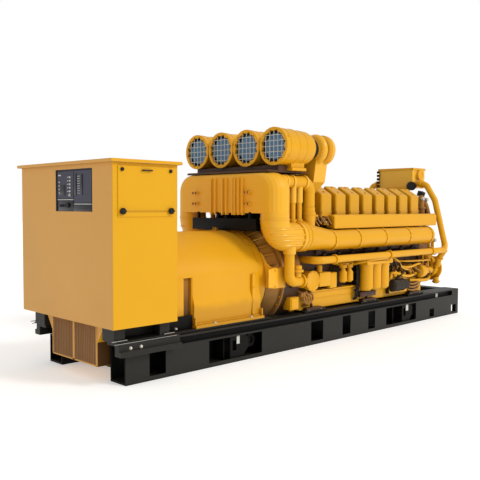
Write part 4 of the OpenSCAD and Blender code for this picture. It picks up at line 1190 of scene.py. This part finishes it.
@dataclass
class AirPath(Assembly):
    """Ribs, tubes, clamps and branches of the charge air, cleaners, turbochargers and exhaust."""

    leg_x: float = 2.05
    leg_joint_z: float = 1.545
    duct_y: float = 0.72
    duct_z: float = 1.3446
    duct_r: float = 0.168
    bend: float = 0.198
    joint_x: float = 2.46
    strakes: Row = (1.44, 1.37, 1.31, 1.25)
    tube_x: Span = (2.38, 2.495)
    tube_y: float = 0.7
    sleeve_z: float = 1.735
    sleeve: Profile = ((0.036, 0.0), (0.044, 0.01), (0.044, 0.21))
    socket_z: float = 1.48
    socket: Profile = ((0.05, 0.0), (0.05, 0.06), (0.034, 0.07), (0.034, 0.27))
    collars: Path = ((2.217, 0.7, 1.988), (2.33, 0.7, 1.988), (2.56, 0.7, 1.988))
    cleaner_y: Span = (0.223, 0.669)
    cleaner_z: float = 2.39
    rim_x: Span = (2.1025, 2.1065)
    rim_r: Span = (0.15, 0.186)
    clamp_x: Spot = (2.383, 2.448, 2.513)
    pipe_z: float = 1.2816
    pipe_joints: Row = (3.036, 3.56, 4.154, 4.748, 5.342)
    pipe_end: Profile = ((0.1, 0.0), (0.128, 0.0), (0.128, 0.02), (0.09, 0.03))
    pipe_end_x: float = 5.385
    lug_bolts: Path = ((1.845, 0.43, 1.7281), (1.845, 0.482, 1.7281), (1.845, 0.43, 1.8597),
                       (1.845, 0.482, 1.8597))
    bands: Profile = ((2.15, 0.2145), (2.3, 0.2145), (2.44, 0.2065))
    latch_x: Span = (2.12, 2.18)
    latch_r: float = 0.213
    saddle: Block = ((2.27, 2.52), (-0.12, 0.12), (2.115, 2.15))
    turbo_rings: tuple = ((2.872, 0.118), (3.017, 0.135))
    turbo_band_x: float = 2.935
    branch_x: Row = tuple(2.99 + 0.297 * (i + 0.5) for i in range(8))
    branch: Profile = ((0.3, 1.69), (0.22, 1.75), (0.1, 1.79))
    branch_clamp: Span = (0.285, 1.7)
    log_bands: Row = (3.2, 3.7, 4.2, 4.7, 5.2)
    log_z: float = 1.795
    coupling_x: float = 2.686
    # dark plates that paint the deep shade behind the aftercooler
    shade_blocks: Blocks = (
        (((2.2, 2.225), (-0.5, 0.45), (1.4, 1.585)), 0.006),
        (((1.862, 1.872), (-0.6, 0.51), (1.4135, 1.556)), 0.004),
    )
    straps: Row = (-0.5, -0.1, 0.05, 0.4)
    strap_w: float = 0.03

    def strake(self, z: float) -> list[Spot]:
        """Points along the elbow's outer side at one height."""
        cx, cz = self.leg_x + self.bend, self.duct_z + self.bend
        start = cx - math.sqrt((self.bend + self.duct_r) ** 2 - (z - cz) ** 2)
        points = []
        for k in range(25):
            x = start + (self.joint_x - 0.075 - start) * (k / 24) ** 1.6
            off = math.hypot(x - cx, z - cz) - self.bend if x < cx else z - self.duct_z
            points.append((x, self.duct_y + math.sqrt(max(0.0, self.duct_r ** 2 - off ** 2)), z))
        return points

    @fills("elbow_ribs", PIPE_YELLOW)
    def ribs(self, kit: Solid) -> None:
        """Level ribs cast on the elbows, and the joint line of the leg."""
        for z in self.strakes:
            kit.tube(self.strake(z), 0.012, 8, 2)
        kit.ring((self.leg_x, self.duct_y, self.leg_joint_z), Z, (0.15, 0.174), 0.016, 48)

    @fills("balance_sleeves", BRIGHT)
    def sleeves(self, kit: Solid) -> None:
        """Bright sleeves of the two tubes between crossover and elbow, painting the tubes' highlights, and
        the crossover's collars.
        """
        for x in self.tube_x:
            kit.turned((x, self.tube_y, self.sleeve_z), Z, self.sleeve, 22)
        for at in self.collars:
            kit.ring(at, X, (0.07, 0.083), 0.03, 30)

    @fills("balance_tubes", YELLOW)
    def lower_tubes(self, kit: Solid) -> None:
        """Lower parts of the two tubes, with their sockets on the elbow."""
        for x in self.tube_x:
            kit.turned((x, self.tube_y, self.socket_z), Z, self.socket, 22)

    @fills("element_rims", RUBBER)
    def element_rims(self, kit: Solid) -> None:
        """Dark end rims of the filter elements, behind the bars."""
        for y in self.cleaner_y:
            kit.arc(self.rim_x, self.cleaner_z, self.rim_r, (0.0, 360.0), 48, y)

    @fills("air_pipe_clamps", YELLOW)
    def clamps(self, kit: Solid) -> None:
        """Band clamps of the elbow joint and bolts of the pipe joints."""
        for x in self.clamp_x:
            kit.ring((x, self.duct_y, self.duct_z), X, (0.165, 0.184), 0.024, 56, 0.004)
        for x in self.pipe_joints:
            kit.bolt_ring((x, self.duct_y, self.pipe_z), BACK, 0.133, 14, 0.007)
        kit.turned((self.pipe_end_x, self.duct_y, self.pipe_z), X, self.pipe_end, 44)

    @fills("aftercooler_bolts", SHADED_STREAKED)
    def cooler_bolts(self, kit: Solid) -> None:
        """Bolts of the aftercooler's lugs."""
        for at in self.lug_bolts:
            kit.bolt(at, BACK, 0.014)

    @fills("air_cleaner_bands", YELLOW)
    def cleaner_bands(self, kit: Solid) -> None:
        """Bands, latches and saddle straps of the air cleaners."""
        x, y, z = self.saddle
        for middle in self.cleaner_y:
            for place, r in self.bands:
                kit.ring((place, middle, self.cleaner_z), X, (r - 0.014, r), 0.022, 56, 0.002)
            for turn in (math.radians(60 * k + 30) for k in range(6)):
                across, high = math.cos(turn) * self.latch_r, math.sin(turn) * self.latch_r
                ends = ((place, middle + across, self.cleaner_z + high) for place in self.latch_x)
                kit.rod(*ends, 0.008, 8)
            kit.box(x, (middle + y[0], middle + y[1]), z, 0.006)

    @fills("turbocharger_bolts", PIPE_YELLOW)
    def turbo_bolts(self, kit: Solid) -> None:
        """Flange bolts and bands of the turbochargers."""
        for y in self.cleaner_y:
            for x, r in self.turbo_rings:
                kit.bolt_ring((x, y, self.cleaner_z), X, r, 12, 0.01)
            kit.ring((self.turbo_band_x, y, self.cleaner_z), X, (0.17, 0.184), 0.024, 48, 0.002)

    @fills("exhaust_branches", IRON)
    def branches(self, kit: Solid) -> None:
        """Exhaust branches from the heads to the log, with clamp bands."""
        for x in self.branch_x:
            kit.tube([(x, *place) for place in self.branch], 0.048, 14)
            kit.ring((x, *self.branch_clamp), (0, -0.75, 0.5), (0.05, 0.062), 0.02, 20)
        for x in self.log_bands:
            kit.ring((x, 0.0, self.log_z), X, (0.14, 0.157), 0.03, 48)

    @fills("cleaner_couplings", RUBBER)
    def couplings(self, kit: Solid) -> None:
        """Dark hose couplings between the cleaners and the turbochargers."""
        for y in self.cleaner_y:
            kit.ring((self.coupling_x, y, self.cleaner_z), X, (0.1, 0.122), 0.064, 40, 0.004)

    @fills("rear_shade_plates", DEEP, False)
    def rear_shade(self, kit: Solid) -> None:
        """Dark plates, straps and cables between the bridge and the coupling, painting the deep shade there.
        """
        kit.boxes(self.shade_blocks)
        for y in ((low, low + self.strap_w) for low in self.straps):
            kit.box((1.864, 2.2), y, (1.44, 1.55), 0.006)
            kit.box((1.872, 1.9), y, (1.53, 1.63))
        for y in (-0.45 + 0.2 * k for k in range(5)):
            kit.tube([(2.19, y, 1.58), (2.14, y + 0.09, 1.5), (2.17, y + 0.19, 1.44)], 0.014)


@dataclass
class FrontEnd(Assembly):
    """Fittings of the front box, its stand and the coolant pipes."""

    lip_x: Span = (5.632, 6.008)
    lip_y: Span = (0.306, 0.318)
    lip_z: Span = (2.27, 2.304)
    lip_t: float = 0.012
    cap_at: Spot = (5.82, 0.337, 2.195)
    cap: Profile = ((0.08, 0.0), (0.08, 0.014), (0.06, 0.018), (0.05, 0.01), (0.01, 0.01))
    clamp_x: float = 5.62
    clamp_y: Span = (0.29, 0.325)
    clamp_z: Row = (2.03, 2.085, 2.14, 2.195, 2.25)
    port_at: Spot = (5.66, -0.27, 2.025)
    port: Profile = ((0.05, 0.0), (0.068, 0.0), (0.068, 0.06), (0.054, 0.06), (0.054, 0.052))
    pipe_joints: Path = ((3.0, 0.84, 1.048), (4.2, 0.84, 1.048), (5.3, 0.84, 1.048))
    pipe_top: Spot = (5.75, 0.42, 2.05)
    bracket: Block = ((0.03, 0.06), (0.58, 0.8), (1.03, 1.06))
    line_z: Row = (1.56, 1.605, 1.65, 1.695)
    line_nut: Profile = ((0.026, 0.0), (0.026, 0.05), (0.02, 0.06))
    line_boxes: Blocks = (
        (((5.54, 5.66), (0.2, 0.36), (1.5, 1.7)), 0.015),
        (((5.36, 5.5), (0.44, 0.56), (1.5, 1.66)), 0.012),
    )
    valve_at: Spot = (5.5, 0.55, 1.57)
    valve: Profile = ((0.055, 0.0), (0.055, 0.1), (0.07, 0.1), (0.07, 0.125), (0.05, 0.13), (0.05, 0.26),
                      (0.03, 0.3))
    bypass: Path = ((5.56, 0.5, 1.93), (5.57, 0.52, 1.84), (5.62, 0.56, 1.72), (5.66, 0.58, 1.58))
    union_at: Path = ((5.46, 0.58, 1.81), (5.59, 0.57, 1.8), (5.57, 0.73, 1.19), (5.62, 0.7, 0.99))

    @fills("front_box_lid", YELLOW)
    def lid(self, kit: Solid) -> None:
        """Lid lip and cap rim of the box."""
        low, high = self.lip_x
        kit.box(self.lip_x, self.lip_y, self.lip_z, 0.003)
        for x in (low, high - self.lip_t):
            kit.box((x, x + self.lip_t), (0.0, self.lip_y[1]), self.lip_z, 0.003)
        kit.turned(self.cap_at, Y, self.cap, 36)

    @fills("front_box_clamps", RUBBER, False)
    def clamps(self, kit: Solid) -> None:
        """Dark clamps on the box's edge, the port under it and the caps of the bypass hoses."""
        for z in self.clamp_z:
            kit.rod(*((self.clamp_x, y, z) for y in self.clamp_y), 0.02, 14)
        kit.turned(self.port_at, (-0.6, -0.7, -0.1), self.port, 24)
        for side in SIDES:
            kit.ring((5.56, side * 0.5, 1.86), (0.3, side * 0.2, 1), (0.04, 0.058), 0.07, 20)

    @fills("coolant_pipe_clamps", YELLOW)
    def pipe_clamps(self, kit: Solid) -> None:
        """Joint flanges and brackets of the coolant pipes."""
        span, y, z = self.bracket
        for at in self.pipe_joints:
            kit.ring(at, X, (0.045, 0.062), 0.024, 26)
            kit.box((at[0] + span[0], at[0] + span[1]), y, z)
        kit.bolt_ring(self.pipe_joints[1], BACK, 0.055, 6, 0.008)
        kit.ring(self.pipe_top, (0, -1, 0), (0.045, 0.065), 0.025, 26)

    @fills("front_lines", BROWN)
    def lines(self, kit: Solid) -> None:
        """Lines, valve and bypass hose from the fuel rail's end to the box's stand."""
        for k, z in enumerate(self.line_z):
            kit.tube([(5.58, 0.6 - 0.03 * k, z - 0.04), (5.64, 0.52, z), (5.68 - 0.02 * k, 0.4, z + 0.06),
                      (5.62, 0.2, z + 0.05)], 0.016)
            kit.turned((5.65 - 0.01 * k, 0.47, z + 0.005), (0, -1, 0.5), self.line_nut, 10)
        kit.boxes(self.line_boxes)
        kit.turned(self.valve_at, Z, self.valve, 22)
        kit.tube(self.bypass, 0.04, 14)

    @fills("front_unions", ZINC)
    def unions(self, kit: Solid) -> None:
        """Bright unions on the front lines and at the ends of the pipes."""
        for at in self.union_at:
            kit.ring(at, (0, 1, 0.3), (0.018, 0.028), 0.048, 12, 0.008)


class Bodywork:
    """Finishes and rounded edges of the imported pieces."""

    CHOSEN = {
        **dict.fromkeys(("cabinet_body", "cabinet_roof"), SHEET_YELLOW),
        **dict.fromkeys(("right_access_cover", "left_access_cover"), SHEET_YELLOW),
        **dict.fromkeys(("aftercooler", "coupling_guards"), CAST_YELLOW),
        **dict.fromkeys(("air_elbows", "turbochargers"), PIPE_YELLOW),
        **dict.fromkeys(("alternator_frame", "alternator_rear_bracket"), DRUM_YELLOW),
        **dict.fromkeys(("flywheel_housing", "front_housing"), SHADED_STREAKED),
        **dict.fromkeys(("engine_block", "cylinder_heads", "air_cleaner_rack"), DARK_SHADE),
        "coupling_housing": COUPLING_SHADE, "lifting_lugs": DEEP, "starting_motors": IRON,
        "front_box": BRIGHT, "rocker_covers": ROCKER_SHADED_YELLOW,
    }
    SLOTS = {"machine_yellow": YELLOW, "skid_black": BLACK, "dark_cast_iron": IRON, "damper_black": RUBBER,
             "panel_slate": SLATE, "screen_brown": LOUVRE, "filter_blue": BLUE}
    SOFT = {"rocker_covers": 0.022, "fuel_rail_covers": 0.016, "alternator_frame": 0.016,
            "aftercooler": 0.008, "oil_pan": 0.012, "engine_block": 0.012, "coupling_guards": 0.014}
    PLAIN = {"control_panel", "air_cleaner_screens", "air_inlet_screens", "air_cleaner_elements",
             "coolant_pipes"}
    EDGE = 0.006
    WELD_WITHIN = 0.0002
    FLAT_WITHIN = math.radians(0.6)
    SHARP_ABOVE = math.radians(40.0)
    BARS_WITHIN = 0.172
    RECESS_X = (-3.2965, -3.2575)
    BAND_INSIDE = 0.705
    FOOT_INSIDE = 0.662
    FACING, TILTED = 0.9, 0.5  # share of a face's normal along an axis

    def finish_of(self, name: str, slot: str) -> Finish:
        """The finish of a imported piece, from its name and its slot."""
        return self.CHOSEN.get(name, self.SLOTS[slot])

    def dress(self) -> None:
        """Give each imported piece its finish, round its edges, and paint some faces apart."""
        slots = {part["node"]: part["material_slot"] for part in frame["record"]["subparts"]}
        for name, obj in frame["nodes"].items():
            obj.data.materials.clear()
            obj.data.materials.append(self.finish_of(name, slots[name]).material())
            if name not in self.PLAIN:
                self.round_edges(obj, self.SOFT.get(name, self.EDGE))
            log.info("finish on %s", name)
        self.paint("air_cleaner_screens", PALE, self.is_bar)
        # painted sheen on the faces that look to the rear
        for name in ("cabinet_body", "cabinet_roof", "air_inlet_box"):
            self.paint(name, SHEEN_YELLOW, self.is_rear)
        self.paint("cabinet_body", SLATE, self.is_recess)
        # painted shade on the sides of the inlet box
        self.paint("air_inlet_box", BROWN_SHADE, self.is_side)
        self.paint("starting_motors", YELLOW, self.is_foot)
        for name in ("right_skid_rail", "left_skid_rail"):
            self.paint(name, DEEP, self.is_band)

    def round_edges(self, obj: bpy.types.Object, width: float) -> None:
        """Add the modifiers that round sharp edges."""
        obj.modifiers.new("weld", "WELD").merge_threshold = self.WELD_WITHIN
        flat = obj.modifiers.new("flat", "DECIMATE")
        flat.decimate_type = "DISSOLVE"
        flat.angle_limit = self.FLAT_WITHIN
        edge = obj.modifiers.new("edge", "BEVEL")
        edge.width = width
        edge.segments = 3
        edge.limit_method = "ANGLE"
        edge.angle_limit = self.SHARP_ABOVE
        obj.modifiers.new("even", "WEIGHTED_NORMAL").keep_sharp = True

    def is_bar(self, face: bpy.types.MeshPolygon) -> bool:
        """Whether a face of the cleaner screens belongs to the crossed bars."""
        at = face.center
        offs = [math.hypot(abs(at.y) - y, at.z - AirPath.cleaner_z) for y in AirPath.cleaner_y]
        return min(offs) < self.BARS_WITHIN

    def is_rear(self, face: bpy.types.MeshPolygon) -> bool:
        """Whether a face looks to the rear."""
        return face.normal.x < -self.FACING

    def is_recess(self, face: bpy.types.MeshPolygon) -> bool:
        """Whether a face of the cabinet lies round the sunk panel."""
        low, high = self.RECESS_X
        return low < face.center.x < high and abs(face.normal.x) < self.TILTED

    def is_band(self, face: bpy.types.MeshPolygon) -> bool:
        """Whether a face of a rail lies in the recessed band or inside the rail."""
        return abs(face.center.y) < self.BAND_INSIDE and face.normal.z < self.TILTED

    def is_foot(self, face: bpy.types.MeshPolygon) -> bool:
        """Whether a face of the starting motors belongs to the block they sit on."""
        return abs(face.center.y) < self.FOOT_INSIDE

    def is_side(self, face: bpy.types.MeshPolygon) -> bool:
        """Whether a face looks to a side."""
        return abs(face.normal.y) > self.FACING

    def paint(self, name: str, finish: Finish, inside: Callable[[bpy.types.MeshPolygon], bool]) -> None:
        """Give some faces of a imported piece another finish."""
        data = frame["nodes"][name].data
        data.materials.append(finish.material())
        for face in data.polygons:
            if inside(face):
                face.material_index = len(data.materials) - 1


@dataclass
class Studio:
    """Camera, light and floor."""

    focal_mm: float = 50.357
    sensor_mm: float = 36.0
    azimuth: float = math.radians(-44.3108)
    pitch: float = math.radians(2.9397)
    roll: float = math.radians(0.2239)
    place: Spot = (-6.6658, -5.9390, 1.7073)
    sun: float = 1.38
    sun_from: Spot = (0.35, -0.82, 0.62)
    sun_angle: float = math.radians(14.0)
    sun_colour: Spot = (1.0, 0.97, 0.92)
    sky: float = 0.67
    sky_colour: Spot = (1.0, 0.98, 0.95)
    white: Spot = (1.0, 1.0, 1.0)
    floor_half: float = 60.0
    floor_z: float = -0.001
    floor_grey: Span = (0.84, 0.87)
    floor_glow: float = 0.37

    def build(self) -> None:
        """Set the camera, the world, the sun and the floor."""
        self.camera()
        self.world()
        self.lamp()
        self.floor()
        bpy.context.scene.view_settings.view_transform = "Standard"

    def link(self, name: str, data: bpy.types.ID) -> bpy.types.Object:
        """A new object in the scene, from its data."""
        made = bpy.data.objects.new(name, data)
        bpy.context.scene.collection.objects.link(made)
        return made

    def camera(self) -> None:
        """The photo's view."""
        data = bpy.data.cameras.new("view")
        data.lens = self.focal_mm
        data.sensor_width = self.sensor_mm
        made = self.link("view", data)
        a, e, r = self.azimuth, self.pitch, self.roll
        back = Vector((math.sin(a) * math.cos(e), -math.cos(a) * math.cos(e), math.sin(e)))
        side = Vector((math.cos(a), math.sin(a), 0.0))
        up = side.cross(-back)
        right = side * math.cos(r) + up * math.sin(r)
        top = up * math.cos(r) - side * math.sin(r)
        turn = Matrix((right, top, back)).transposed().to_4x4()
        made.matrix_world = Matrix.Translation(self.place) @ turn
        bpy.context.scene.camera = made

    def world(self) -> None:
        """A white studio: bright to the camera, softer as light."""
        world = bpy.data.worlds.new("studio")
        bpy.context.scene.world = world
        world.use_nodes = True
        nodes, links = world.node_tree.nodes, world.node_tree.links
        nodes.clear()
        mix = nodes.new("ShaderNodeMixShader")
        for slot, colour, strength in ((1, self.sky_colour, self.sky), (2, self.white, 1.0)):
            light = nodes.new("ShaderNodeBackground")
            light.inputs["Color"].default_value = rgba(colour)
            light.inputs["Strength"].default_value = strength
            links.new(light.outputs[0], mix.inputs[slot])
        ray = nodes.new("ShaderNodeLightPath")
        out = nodes.new("ShaderNodeOutputWorld")
        links.new(ray.outputs["Is Camera Ray"], mix.inputs[0])
        links.new(mix.outputs[0], out.inputs["Surface"])

    def lamp(self) -> None:
        """A soft key light from the right of the photo and above."""
        data = bpy.data.lights.new("key", "SUN")
        data.energy = self.sun
        data.angle = self.sun_angle
        data.color = self.sun_colour
        made = self.link("key", data)
        made.rotation_euler = Vector(self.sun_from).to_track_quat("Z", "Y").to_euler()

    def floor(self) -> None:
        """A pale floor that keeps the shadow."""
        data = bpy.data.meshes.new("floor")
        half = self.floor_half
        corners = [(-half, -half, 0), (half, -half, 0), (half, half, 0), (-half, half, 0)]
        data.from_pydata(corners, [], [(0, 1, 2, 3)])
        made = self.link("floor", data)
        made.location.z = self.floor_z
        tree = Tree("studio_floor")
        dull, clear = (rgba(self.white, grey) for grey in self.floor_grey)
        tree.shade({
            "Base Color": tree.mix(tree.noise(0.7), dull, clear),
            "Roughness": 0.9,
            "Specular IOR Level": 0.0,
            "Emission Color": rgba(self.white),
            "Emission Strength": self.floor_glow,
        })
        data.materials.append(tree.material)


def report(pieces: Iterable[bpy.types.Object]) -> None:
    """Write the name and the face count of each piece to the log."""
    for piece in pieces:
        log.info("piece %s: %d faces", piece.name, len(piece.data.polygons))


def main() -> None:
    """Dress the frame, add the small pieces, log their face counts and set the studio."""
    logging.basicConfig(level=logging.INFO, format="%(name)s %(message)s")
    Bodywork().dress()
    for part in (Skid(), Cabinet(), Alternator(), Flywheel(), Engine(), AirPath(), FrontEnd()):
        report(part.build())
    Studio().build()


if __name__ == "__main__":
    main()
